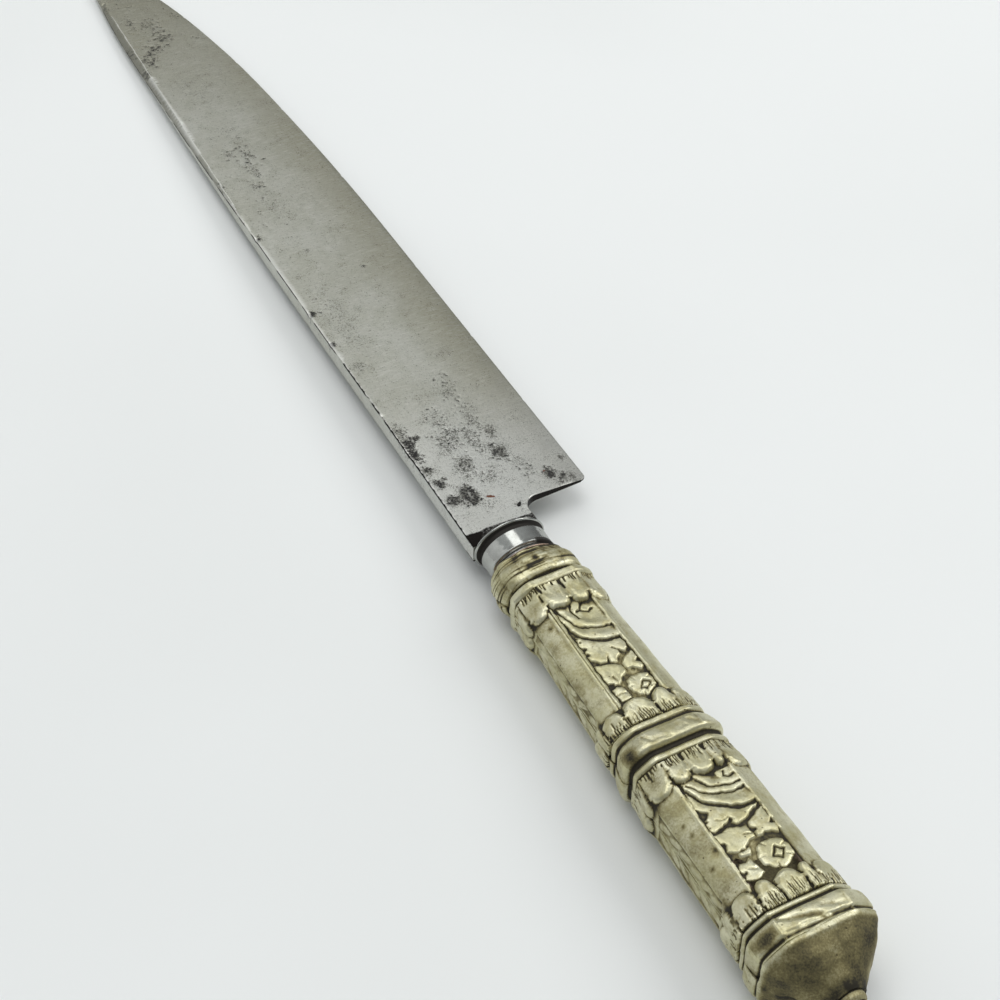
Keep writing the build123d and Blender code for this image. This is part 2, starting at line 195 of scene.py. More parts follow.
# Worn, tarnished places on the top and the spine-side chamfer; the first two, on the pommel ring's chamfer, are
# painted dark reflection: (face, station, across, radius, strength)
STAINS_AND_DARK_REFLECTIONS = [
    (CHAMFER, -101.6, 0.3, 2.4, 1), (CHAMFER, -100.6, -1.6, 1.6, 0.3), (TOP, -11.4, 0.6, 0.6, 0.8),
    (TOP, -12.7, 2.6, 0.5, 0.6), (TOP, -10.4, -1.8, 0.5, 0.5), (TOP, -101, -1, 2.2, 0.15),
    (CHAMFER, -27, -0.4, 0.5, 0.55), (CHAMFER, -46, -0.2, 0.9, 0.4), (CHAMFER, -53.3, 1.2, 0.5, 0.7),
    (CHAMFER, -75.5, 0.4, 0.45, 0.5), (CHAMFER, -77.7, 0.1, 0.5, 0.45), (CHAMFER, -84.8, 0.6, 0.5, 0.5),
    (CHAMFER, -82.6, -1.8, 0.7, 0.5), (CHAMFER, -59.4, 0.6, 1.7, 1), (CHAMFER, -80.5, 0.2, 2.4, 0.2),
    (CHAMFER, -72, 0.2, 2.2, 0.24), (CHAMFER, -88.6, 0, 1.8, 0.26), (CHAMFER, -31, 0.9, 1.2, 0.3),
    (TOP, -56.9, -2.8, 0.35, 0.6), (TOP, -45.2, -5.2, 0.5, 0.5), (TOP, -64.7, 3.6, 0.4, 0.5),
    (TOP, -75.8, -5.9, 0.3, 0.5), (TOP, -100.9, -3.5, 0.5, 0.35),
]

# ---- blade
TIP = (242.5, -1.4)
SPINE_ROOT_Y = 7.4
SPINE_POINTS = [(0, SPINE_ROOT_Y), (165, 5), (209, 3.1), TIP]
SPINE_END_SLOPES = (-0.0145, -0.22)
EDGE_POINTS = [(98, -21.4), (145, -20.2), (181.5, -17.4), (212.5, -11.8), TIP]
EDGE_END_SLOPES = (0, 0.5)
HEEL_X, HEEL_CORNER_R = 8, 1.3
NECK_Y, NECK_R = -7.1, 3.2
SPINE_HALF, CROSS_TAPER, LENGTH_TAPER = 2, 0.055, 0.0025
FRONT_X, FRONT_TAPER = 135, 0.005
CLIP_START, CLIP_END, CLIP_BACK = (118, 5.8), (208.5, 1.9), (165, 5)
CLIP_THIN_HALF = 0.4
# Half thickness near the edge: the lesser of a long hand-ground bevel and a narrow honed one
GROUND_BEVEL = (0.10, 0.125)   # at the edge, gained per mm
HONED_BEVEL = (0.05, 0.4)
# Clusters of corrosion pits on the upper flank: (x, y, spread along, spread across, count, largest radius)
PIT_CLUSTERS = [
    (11.3, 1.9, 0.8, 0.8, 26, 0.34), (13.2, 2.2, 1.2, 0.6, 26, 0.34), (14.6, 1.4, 0.7, 0.7, 20, 0.36),
    (13, 0.6, 1.3, 0.5, 24, 0.36), (12.8, 4.9, 0.8, 0.8, 30, 0.42), (17.6, 5.2, 0.35, 0.35, 10, 0.42),
    (18.7, 5.3, 0.4, 0.4, 10, 0.42), (19.2, 3.9, 0.2, 0.2, 4, 0.3), (22.7, 5.8, 0.5, 0.6, 14, 0.32),
    (27.8, 5.9, 1.3, 0.5, 60, 0.5), (31.2, 5.6, 1.2, 0.6, 40, 0.4), (32.2, 3.6, 0.4, 0.5, 14, 0.4),
    (35, 5.7, 1.4, 0.6, 18, 0.26), (21, -1.8, 1.8, 1.2, 36, 0.27), (28.5, -1.2, 2.4, 1.3, 34, 0.27),
    (30.6, -3.6, 1.8, 1, 26, 0.3), (35.8, -3, 2.6, 1.2, 30, 0.22), (16.4, -4.6, 1.3, 1.2, 22, 0.24),
    (28, -6.6, 3, 1.2, 44, 0.27), (22, -9.4, 1.6, 0.9, 30, 0.36), (33, -8.8, 3.4, 0.8, 34, 0.24),
    (27.4, -10.8, 1.4, 0.7, 14, 0.26), (43.5, -8.6, 2.6, 1.3, 24, 0.26), (12.2, -15.4, 0.9, 0.7, 30, 0.42),
    (10.3, -17, 1, 0.9, 26, 0.28), (16, -12.2, 1.8, 1, 22, 0.24), (9.8, -19.2, 0.9, 0.5, 12, 0.22),
    (15.5, -19.8, 0.3, 0.2, 4, 0.26), (57, 3.9, 0.8, 1.1, 14, 0.26), (72, 1.5, 8, 2.4, 40, 0.16),
    (65.7, 6.1, 0.4, 0.25, 8, 0.36), (76.8, 5.8, 0.5, 0.45, 14, 0.42), (105.9, 5.5, 0.4, 0.3, 10, 0.4),
    (54.5, -13.6, 1.5, 1.2, 10, 0.22), (87.7, -11.2, 0.15, 0.15, 3, 0.3), (117, -2.4, 6, 1.8, 60, 0.27),
    (124.6, -1.2, 0.4, 1.1, 9, 0.36), (132, -3.6, 2.2, 0.6, 22, 0.34), (138, -4.6, 2.2, 1.2, 34, 0.38),
    (139.5, -1, 1.2, 0.4, 12, 0.34), (128, 5.2, 0.8, 0.3, 8, 0.3), (146.5, -4.8, 2.5, 0.8, 12, 0.22),
    (168, -4, 5, 3, 16, 0.22), (180, 3.8, 1.4, 0.4, 16, 0.36), (184, 1.3, 1.1, 0.4, 26, 0.46),
    (187.3, -0.5, 0.8, 0.6, 22, 0.46), (189.6, -2.6, 0.7, 1.1, 26, 0.42), (190.7, 3.8, 1.6, 0.3, 12, 0.34),
    (193.3, -6.2, 0.8, 1.4, 22, 0.42), (197.5, -5.2, 2, 1.3, 34, 0.34), (202, -4.6, 1.4, 1.2, 20, 0.34),
    (203, -0.9, 1.8, 0.4, 18, 0.34), (190.4, -13.8, 0.5, 0.5, 6, 0.3), (202.6, -12.2, 0.6, 0.4, 8, 0.26),
    (6.7, -5.9, 0.1, 0.3, 6, 0.26), (212.5, 2.2, 0.4, 0.3, 7, 0.38), (218, -3, 5, 2.4, 40, 0.3),
    (230, -3.4, 3.5, 1.2, 18, 0.26),
]
PIT_DEPTH = 0.07
RUST_SPOTS = [(11.2, -1.5, 0.4), (11, -2, 0.45), (10.7, -2.5, 0.35), (70.5, -2.5, 0.4), (13.2, -14.8, 0.3)]
SPINE_DENTS = [(65.6, 0.5, 0.25), (76.7, 0.8, 0.4), (106, 0.6, 0.35), (41, 0.5, 0.15), (28.5, 1.4, 0.22)]
EDGE_NICKS = [(34, 0.5, 0.10), (57, 0.35, 0.14), (83, 0.5, 0.09), (121, 0.4, 0.16), (152, 0.5, 0.10),
              (176, 0.35, 0.12), (201, 0.5, 0.10)]
# Fine mesh where the pits are: (low x, high x, low y, high y, pitch)
FINE_PATCHES = [(0.8, 47, -20.9, 7.1, 0.27), (108, 142, -7.5, 6.4, 0.33), (178, 214, -13.5, 4.4, 0.3),
                (54, 60, 1.5, 6.6, 0.3), (63.5, 79, 4.2, 6.3, 0.3), (103.5, 108, 4.2, 6, 0.3)]
COARSE_PITCH = 1.1
SOFT_CORNER, THINNEST_HALF = 0.13, 0.03    # rounding of the spine's corners, and the edge
# (station, half width, half height, squareness) of the tang and its riveted end
TANG = [(0.4, 3.9, 1.3, 0.8), (-1.0, 4.0, 1.35, 0.8), (-40.0, 2.5, 1.6, 0.8), (-109.0, 1.3, 1.3, 0.0),
        (-113.4, 1.3, 1.3, 0.0), (-113.45, 1.72, 1.66, 0.0), (-113.6, 1.76, 1.7, 0.0), (-113.74, 1.5, 1.5, 0.0),
        (-113.82, 1.0, 0.95, 0.0), (-113.85, 0.4, 0.4, 0.0)]
RIM_INSET = 0.16               # width of the rounding along the spine, heel and neck
WALL_SHARE = 0.76              # height of the wall's inner rings over the half thickness


# ---- small numeric helpers
def ease(low, high, value):
    t = np.clip((value - low) / (high - low), 0.0, 1.0)
    return t * t * (3.0 - 2.0 * t)


def bell(value, width=1.0):
    """A smooth bump of height one round zero."""
    return np.exp(-(value / width) ** 2)


def blur_rows(field, sigma):
    """Gaussian blur along the first axis, in samples."""
    reach = max(1, int(3 * sigma))
    weights = np.exp(-0.5 * (np.arange(-reach, reach + 1) / sigma) ** 2)
    weights /= weights.sum()
    padded = np.pad(field, [(reach, reach)] + [(0, 0)] * (field.ndim - 1), mode="edge")
    return sum(w * padded[i:i + len(field)] for i, w in enumerate(weights))


def blur(field, row_sigma, column_sigma):
    return blur_rows(blur_rows(field, row_sigma).T, column_sigma).T


def wander(rng, shape, row_sigma, column_sigma):
    """Smooth seeded noise with a spread of one."""
    field = blur(rng.normal(size=shape), row_sigma, column_sigma)
    return field / field.std()


def along(x, points):
    """Value at x of a broken line of (x, value) points, given in either direction."""
    line = np.array(sorted(points))
    return np.interp(x, line[:, 0], line[:, 1])


def rounded_profile(x, rows, column, softness):
    """A table's column at stations x, its corners rounded over about softness."""
    step = 0.02
    table = np.array(sorted(rows))
    fine = np.arange(table[0, 0] - 1.0, table[-1, 0] + 1.0, step)
    values = blur_rows(np.interp(fine, table[:, 0], table[:, column]), softness / step)
    return np.interp(x, fine, values)


def hermite(x, points, end_slopes):
    """Smooth curve y(x) through points, with given slopes at its two ends."""
    p = np.array(points)
    chord = np.diff(p[:, 1]) / np.diff(p[:, 0])
    run = np.diff(p[:, 0])
    inner = (chord[:-1] * run[1:] + chord[1:] * run[:-1]) / (run[1:] + run[:-1])
    slope = np.concatenate([[end_slopes[0]], inner, [end_slopes[1]]])
    k = np.clip(np.searchsorted(p[:, 0], x) - 1, 0, len(run) - 1)
    t = np.clip((x - p[k, 0]) / run[k], 0.0, 1.0)
    return ((2 * t ** 3 - 3 * t ** 2 + 1) * p[k, 1] + (t ** 3 - 2 * t ** 2 + t) * run[k] * slope[k]
            + (3 * t ** 2 - 2 * t ** 3) * p[k + 1, 1] + (t ** 3 - t ** 2) * run[k] * slope[k + 1])


def line_distance(x, y, points):
    """Distance from each (x, y) to a broken line."""
    best = np.full(np.shape(x), 1e9)
    for (ax, ay), (bx, by) in zip(points, points[1:]):
        dx, dy = bx - ax, by - ay
        t = np.clip(((x - ax) * dx + (y - ay) * dy) / (dx * dx + dy * dy), 0.0, 1.0)
        best = np.minimum(best, np.hypot(x - ax - t * dx, y - ay - t * dy))
    return best


def inside(x, y, outline):
    """True where (x, y) lies within a closed outline."""
    result = np.zeros(np.shape(x), dtype=bool)
    for (ax, ay), (bx, by) in zip(outline, outline[1:] + outline[:1]):
        if ay != by:
            crosses = ((ay > y) != (by > y)) & (x < (bx - ax) * (y - ay) / (by - ay) + ax)
            result ^= crosses
    return result


# ---- materials
class Graph:
    """A node material under construction; coordinates are millimetres on the object."""

    def __init__(self, name, library=bpy.data.materials):
        self.owner = library.new(name)
        self.owner.use_nodes = True
        self.tree = self.owner.node_tree
        self.coordinates = self.node("TexCoord").outputs

    def feed(self, socket, value):
        if isinstance(value, bpy.types.NodeSocket):
            self.tree.links.new(value, socket)
        elif socket.type == "RGBA":
            socket.default_value = (*value, 1.0)
        else:
            socket.default_value = value

    def node(self, kind, inputs=(), **settings):
        """A new node, with its settings and then its (socket, value) inputs."""
        node = self.tree.nodes.new("ShaderNode" + kind)
        for name, value in settings.items():
            setattr(node, name, value)
        for key, value in inputs:
            self.feed(node.inputs[key], value)
        return node

    def texture(self, kind, output, scale, shift, stretch=(1, 1, 1), inputs=()):
        place = self.node("Mapping", [("Vector", self.coordinates["Object"]), ("Scale", [s / MM for s in stretch]),
                                      ("Location", (shift, shift, shift))])
        return self.node(kind, [("Vector", place.outputs[0]), ("Scale", scale), *inputs]).outputs[output]

    def noise(self, scale, detail, roughness, shift=0.0, stretch=(1, 1, 1)):
        return self.texture("TexNoise", "Fac", scale, shift, stretch, [("Detail", detail), ("Roughness", roughness)])

    def cells(self, scale, shift):
        return self.texture("TexVoronoi", "Distance", scale, shift)

    def field(self, name):
        return self.node("Attribute", attribute_name=name).outputs["Fac"]

    def axis(self, name):
        return self.times(self.node("SeparateXYZ", [(0, self.coordinates["Object"])]).outputs[name], 1 / MM)

    def math(self, operation, a, b):
        return self.node("Math", [(0, a), (1, b)], operation=operation).outputs[0]

    def times(self, a, b):
        return self.math("MULTIPLY", a, b)

    def plus(self, a, b):
        return self.math("ADD", a, b)

    def stir(self, value, noise, amount):
        """A value made uneven by a noise."""
        return self.plus(value, self.times(self.math("SUBTRACT", noise, 0.5), amount))

    def span(self, value, low, high, out_low=0.0, out_high=1.0):
        """A value eased from one range to another."""
        inputs = [("Value", value), ("From Min", low), ("From Max", high), ("To Min", out_low), ("To Max", out_high)]
        return self.node("MapRange", inputs, interpolation_type="SMOOTHSTEP").outputs["Result"]

    def mix(self, factor, a, b):
        """Between two colours, where b is a tuple, or between two numbers."""
        kind, first, output = ("RGBA", 6, 2) if isinstance(b, tuple) else ("FLOAT", 2, 0)
        return self.node("Mix", [(0, factor), (first, a), (first + 1, b)], data_type=kind).outputs[output]

    def tint(self, colour, factor, share, other):
        return self.mix(self.times(factor, share), colour, other)

    def bump(self, height, distance, strength, under=None):
        inputs = [("Strength", strength), ("Distance", distance * MM), ("Height", height)]
        return self.node("Bump", inputs + ([("Normal", under)] if under else [])).outputs["Normal"]

    def shade(self, colour, metallic, roughness, normal):
        surface = self.tree.nodes["Principled BSDF"].inputs
        for name, value in (("Base Color", colour), ("Metallic", metallic), ("Roughness", roughness),
                            ("Normal", normal)):
            self.feed(surface[name], value)
        return self.owner


def nickel_silver(name, tarnish=0.0):
    """Yellowish white metal, rubbed bright on the high places and dark brown in the hollows; its patina field also
    brings painted dark reflection.
    """
    g = Graph(name)
    cloud = g.noise(0.16, 4.0, 0.6)
    grain = g.noise(2.6, 4.0, 0.6, 7.0)
    fine = g.noise(9.0, 2.0, 0.5, 3.0)
    mottle = g.noise(0.42, 5.0, 0.68, 11.0)
    scratches = g.noise(3.2, 2.0, 0.5, 5.0, (0.25, 2.4, 2.4))
    ragged = g.stir(g.field("patina_and_shade"), grain, 0.55)
    film_and_shade = g.span(ragged, 0.10 - tarnish, 0.70 - tarnish)
    crust_and_shade = g.span(ragged, 0.50 - tarnish, 1.0 - tarnish)
    speck = g.times(g.times(g.span(g.cells(0.75, 2.0), 0.16, 0.06), g.span(mottle, 0.46, 0.56)), 0.85)
    colour = g.mix(g.span(cloud, 0.38, 0.64), (0.56, 0.535, 0.335), (0.68, 0.66, 0.475))
    colour = g.tint(colour, g.span(mottle, 0.46, 0.66), 0.6, (0.40, 0.355, 0.17))
    colour = g.tint(colour, g.span(grain, 0.45, 0.68), 0.30, (0.42, 0.385, 0.23))
    colour = g.mix(film_and_shade, colour, (0.27, 0.235, 0.115))
    colour = g.mix(crust_and_shade, colour, (0.028, 0.024, 0.014))
    colour = g.mix(speck, colour, (0.06, 0.048, 0.025))
    worn = g.plus(g.mix(g.span(mottle, 0.35, 0.7), 0.33, 0.46), g.times(fine, 0.08))
    relief = g.bump(grain, 0.035, 0.8)
    relief = g.bump(scratches, 0.012, 0.7, relief)
    relief = g.bump(speck, -0.06, 0.8, relief)
    return g.shade(colour, g.mix(crust_and_shade, 1.0, 0.5), g.mix(film_and_shade, worn, 0.68), relief)


def forged_steel(name):
    """Old carbon steel: grey, cloudy, scratched from scouring, with black pits and a little rust; also painted
    highlights, painted shade and painted shadow.
    """
    g = Graph(name)
    pit, spots, rust, stain_and_shadow = map(g.field, ("pit", "spots", "rust", "stain_and_shadow"))
    cloud = g.noise(0.055, 4.0, 0.62)
    patch = g.noise(0.30, 4.0, 0.6, 9.0)
    grain = g.noise(5.0, 3.0, 0.6, 4.0)
    blotch = g.noise(1.9, 8.0, 0.78, 12.0)
    scour = g.noise(1.3, 3.0, 0.6, 2.0, (2.6, 0.35, 1.0))
    near_edge = g.times(g.span(g.axis("Y"), -6.0, -19.0), 0.75)
    near_tip = g.times(g.span(g.axis("X"), 140.0, 215.0), 0.8)
    near_heel = g.span(g.axis("X"), 52.0, 14.0)
    colour = g.mix(g.span(cloud, 0.36, 0.66), (0.44, 0.44, 0.375), (0.50, 0.503, 0.445))
    colour = g.mix(g.math("MAXIMUM", near_edge, near_tip), colour, (0.33, 0.318, 0.24))
    colour = g.tint(colour, g.span(patch, 0.45, 0.75), 0.25, (0.30, 0.29, 0.215))
    # Painted highlight: the flank is lighter near the heel
    colour = g.tint(colour, near_heel, 0.6, (0.64, 0.645, 0.62))
    colour = g.tint(colour, g.span(scour, 0.46, 0.75), 0.25, (0.80, 0.80, 0.76))
    dust = g.plus(g.plus(g.noise(3.4, 6.0, 0.8, 6.0), g.times(near_heel, 0.03)), g.times(spots, 0.17))
    colour = g.tint(colour, g.span(g.stir(dust, patch, 0.3), 0.575, 0.66), 0.85, (0.11, 0.108, 0.092))
    dotted = g.plus(patch, g.plus(g.times(spots, 0.25), g.times(near_heel, 0.06)))
    dots = g.times(g.span(g.cells(1.15, 3.0), 0.20, 0.10), g.span(dotted, 0.55, 0.66))
    colour = g.tint(colour, dots, 0.8, (0.07, 0.068, 0.06))
    broken = g.plus(g.times(blotch, 1.5), g.times(spots, 0.14))
    broken = g.plus(broken, g.math("SUBTRACT", g.times(pit, 0.33), 0.25))
    ring, black = g.span(broken, 0.56, 0.78), g.span(broken, 0.68, 0.88)
    colour = g.tint(colour, ring, 0.65, (0.13, 0.127, 0.11))
    colour = g.mix(black, colour, (0.014, 0.013, 0.012))
    colour = g.mix(g.span(g.stir(rust, grain, 0.4), 0.3, 0.7), colour, (0.13, 0.040, 0.018))
    # Painted highlights: bright lines along the clip's ridge and the spine's rim, and a lighter spine wall
    colour = g.tint(colour, g.field("painted_highlight"), 0.8, (0.92, 0.92, 0.88))
    # Painted shade: the clip bevel behind its ridge is darker
    colour = g.tint(colour, g.field("back"), 0.5, (0.20, 0.20, 0.175))
    # Near black for real stains and for the painted shadow at the shoulder and on the heel's wall
    colour = g.mix(g.span(g.stir(stain_and_shadow, blotch, 1.2), 0.22, 0.62), colour, (0.012, 0.010, 0.009))
    metallic = g.mix(g.math("MAXIMUM", black, rust), 1.0, 0.3)
    roughness = g.mix(ring, g.span(patch, 0.3, 0.7, 0.34, 0.44), 0.72)
    return g.shade(colour, metallic, roughness, g.bump(broken, -0.05, 0.6, g.bump(scour, 0.010, 0.6)))


def turned_steel(name):
    """Bright turned steel of the bolster, dark in its grooves and, by the handle's mouth, darkened with painted
    shade.
    """
    g = Graph(name)
    cloud = g.noise(0.35, 4.0, 0.6)
    lines = g.noise(3.5, 2.0, 0.5, 1.0, (3.0, 0.2, 0.2))
    # The patina field brings in the painted shade by the handle's mouth
    film_and_shade = g.span(g.stir(g.field("patina_and_shade"), g.noise(3.0, 3.0, 0.6, 6.0), 0.4), 0.2, 0.75)
    colour = g.mix(g.span(cloud, 0.35, 0.68), (0.44, 0.45, 0.425), (0.37, 0.375, 0.35))
    colour = g.mix(film_and_shade, colour, (0.024, 0.021, 0.017))
    roughness = g.mix(film_and_shade, g.span(cloud, 0.3, 0.7, 0.12, 0.17), 0.6)
    return g.shade(colour, g.mix(film_and_shade, 1.0, 0.5), roughness, g.bump(lines, 0.003, 0.35))


def cloudy(name, cloud, reach, light, dark, grain, roughness, relief, metallic=0.0):
    """Two clouded colours and one grain; the tuples are arguments of noise(), span() and bump()."""
    g = Graph(name)
    colour = g.mix(g.span(g.noise(*cloud), *reach), light, dark)
    grain = g.noise(*grain)
    if isinstance(roughness, tuple):
        roughness = g.span(grain, 0.3, 0.7, *roughness)
    return g.shade(colour, metallic, roughness, g.bump(grain, *relief))


SILVER = nickel_silver("nickel_silver")
CAP_SILVER = nickel_silver("tarnished_nickel_silver", tarnish=0.16)
STEEL = forged_steel("forged_steel")
BRIGHT_STEEL = turned_steel("turned_steel")
COPPER = cloudy("old_copper", (0.8, 4.0, 0.6), (0.4, 0.65), (0.46, 0.34, 0.26), (0.15, 0.105, 0.07),
                (4.0, 3.0, 0.6, 8.0), (0.3, 0.5), (0.02, 0.6), 1.0)
SOLDER = cloudy("dull_solder", (0.7, 4.0, 0.6), (0.35, 0.7), (0.36, 0.36, 0.35), (0.16, 0.155, 0.14),
                (3.0, 3.0, 0.6, 5.0), (0.42, 0.6), (0.05, 0.7), 1.0)
RESIN = cloudy("dark_resin", (0.4, 5.0, 0.6), (0.35, 0.7), (0.060, 0.035, 0.018), (0.12, 0.08, 0.045),
               (2.2, 4.0, 0.6, 3.0), (0.55, 0.8), (0.12, 0.7))
PAPER = cloudy("matt_paper", (0.006, 2.0, 0.5, 4.0), (0.35, 0.65), (0.80, 0.815, 0.80), (0.83, 0.845, 0.832),
               (0.9, 3.0, 0.5), 0.8, (0.02, 0.25))


# ---- pieces from vertex and face lists
def add_piece(name, verts, faces, material, slot=None, replaces=(), fields=None, crease=40.0):
    """Add a mesh given in millimetres; fields are numbers kept on its vertices for its material."""
    mesh = bpy.data.meshes.new(name)
    mesh.from_pydata((np.asarray(verts) * MM).tolist(), [], faces)
    for field, values in (fields or {}).items():
        mesh.attributes.new(field, "FLOAT", "POINT").data.foreach_set("value", np.asarray(values, dtype=np.float32))
    mesh.shade_smooth()
    mesh.set_sharp_from_angle(angle=math.radians(crease))
    mesh.materials.append(material)
    piece = bpy.data.objects.new(name, mesh)
    bpy.context.scene.collection.objects.link(piece)
    if slot:
        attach(piece, "root")
        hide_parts(*replaces)
    return piece


def quads(grid, flip=False):
    """Faces of a grid of vertex numbers."""
    corners = [grid[:-1, :-1], grid[:-1, 1:], grid[1:, 1:], grid[1:, :-1]]
    if flip:
        corners = [corners[k] for k in (0, 3, 2, 1)]
    return np.stack(corners, axis=2).reshape(-1, 4).tolist()


# ---- handle shells
def shell_stations():
    parts = []
    for start, end, pitch in ROW_ZONES:
        count = int(round((start - end) / pitch))
        parts.append(np.linspace(start, end, count, endpoint=False))
    return np.concatenate(parts + [[ROW_ZONES[-1][1]]])


def section_columns():
    """Which face of the octagon each column lies on, and how far along it (0 to 1)."""
    faces, shares = [], []
    for face, count in enumerate(FACE_COLUMNS):
        even = np.arange(count) / count
        eased = even if face == TOP else 0.75 * even + 0.125 * (1 - np.cos(math.pi * even))
        faces += [face] * count
        shares += list(eased)
    return np.array(faces + [4]), np.array(shares + [1.0])


def half_section(half_w, half_h, corner_r):
    """Points and outward normals of the upper half of the section, from the -Y seam to the +Y seam.
    Also the distance along each face from its middle, each face's half width, and each column's face."""
    face, share = section_columns()
    top, side, zero = TOP_FLAT * half_w, SIDE_FLAT * half_h, np.zeros_like(half_w)
    corners = np.array([(-half_w, zero), (-half_w, side), (-top, half_h),
                        (top, half_h), (half_w, side), (half_w, zero)]).transpose(0, 2, 1)
    edge = np.diff(corners, axis=0)
    length = np.linalg.norm(edge, axis=2)
    unit = edge / length[..., None]
    normal = np.stack([-unit[..., 1], unit[..., 0]], axis=2)
    e, n, l = unit[face], normal[face], length[face]
    points, normals = corners[face] + e * (l * share[:, None])[..., None], n.copy()
    for end, inward, distance in ((0, e, l * share[:, None]), (1, -e, l * (1 - share)[:, None])):
        neighbour = face + 2 * end - 1
        has_corner = (neighbour >= EDGE_SIDE) & (neighbour <= SPINE_SIDE)
        half_turn = 0.5 * np.arccos(np.clip((n * normal[np.clip(neighbour, 0, 4)]).sum(axis=2), -1, 1))
        reach = np.minimum(corner_r * np.tan(half_turn), 0.45 * l)
        radius = reach / np.maximum(np.tan(half_turn), 1e-6)
        turn = half_turn * (1 - distance / np.maximum(reach, 1e-9))
        arc_normal = n * np.cos(turn)[..., None] - inward * np.sin(turn)[..., None]
        centre = corners[face + end] + inward * reach[..., None] - n * radius[..., None]
        rounded = (has_corner[:, None] & (distance < reach))[..., None]
        points = np.where(rounded, centre + arc_normal * radius[..., None], points)
        normals = np.where(rounded, arc_normal, normals)
    return [v.swapaxes(0, 1) for v in (points, normals, l * (share[:, None] - 0.5), 0.5 * l)] + [face]


def lobe(x, across, low, high, tip, border):
    """Height of one leaf lobe: round at its free end, with soft valleys to its neighbours."""
    d = border["direction"]
    middle, half = 0.5 * (low + high), 0.5 * (high - low)
    u = np.abs(across - middle) / half
    past = np.clip(((x - tip) * d + border["bow"]) / border["bow"], 0.0, 1.5)
    depth = (1.0 - np.sqrt(u ** 2 + past ** 2)) * border["bow"] * 0.8
    end = np.sqrt(np.clip(1.0 - (1.0 - np.clip(depth / 0.85, 0, 1)) ** 2, 0, 1))
    on = (u <= 1) & ((x - tip) * d <= 0) & ((x - border["root"]) * d >= 0)
    run = np.clip((x - border["root"]) / (tip - border["root"]), 0, 1)
    valley = (0.10 + 0.30 * run) * bell(half * (1 - u), 0.25 + 0.35 * run)
    crown = 0.88 + 0.12 * np.sqrt(np.clip(1.0 - np.clip(u, 0, 1) ** 2.2, 0, 1)) - valley
    rise = border["root_rise"] + (border["rise"] - border["root_rise"]) * ease(0.1, 0.8, run)
    return np.where(on, rise * np.where(past > 0, end, 1.0) * crown, 0.0)


def groove(x, across, border, centre, length, width, depth):
    """A short cut that starts at a border's root line and tapers out."""
    run = (x - border["root"]) * border["direction"] / length
    fade = np.where((run >= -0.05) & (run < 1), np.sqrt(np.clip(1 - run, 0, 1)), 0.0)
    return depth * fade * bell(across - centre, width)


def border_relief(x, across, half, face, rng):
    """The four leaf borders on one face, and how deep they are hatched at each point."""
    height, hatched = np.zeros(x.shape), np.zeros(x.shape)
    for border in BORDERS:
        reach = half[np.abs(x[:, half.shape[1] // 2] - border["root"]).argmin(), 0]
        lobes, splits = border["top"], border["splits"]
        if face != TOP:
            lobes, splits = [(-reach, reach, border["chamfer" if face in (EDGE_CHAMFER, CHAMFER) else "side"])], []
        total, cut = np.zeros(x.shape), np.zeros(x.shape)
        for number, (low, high, tip) in enumerate(lobes):
            low = -half if number == 0 else low * half / reach
            high = half if number == len(lobes) - 1 else high * half / reach
            total = np.maximum(total, lobe(x, across, low, high, tip, border))
        longest, hatch_share = border["hatch"]
        grooves = [(centre + rng.uniform(-0.1, 0.1), longest * rng.uniform(0.45, 1.0), HATCH_WIDTH,
                    HATCH_DEPTH * rng.uniform(0.5, 1.0) * (rng.uniform() < hatch_share))
                   for centre in np.arange(-reach + 0.4, reach - 0.3, HATCH_PITCH)]
        for shape in grooves + [(*split, SPLIT_WIDTH, SPLIT_DEPTH) for split in splits]:
            cut = np.maximum(cut, groove(x, across, border, *shape))
        cut = np.where(total > 0, np.minimum(cut, 0.8 * total), 0.0)
        height += total - cut
        hatched += cut
    return height, hatched


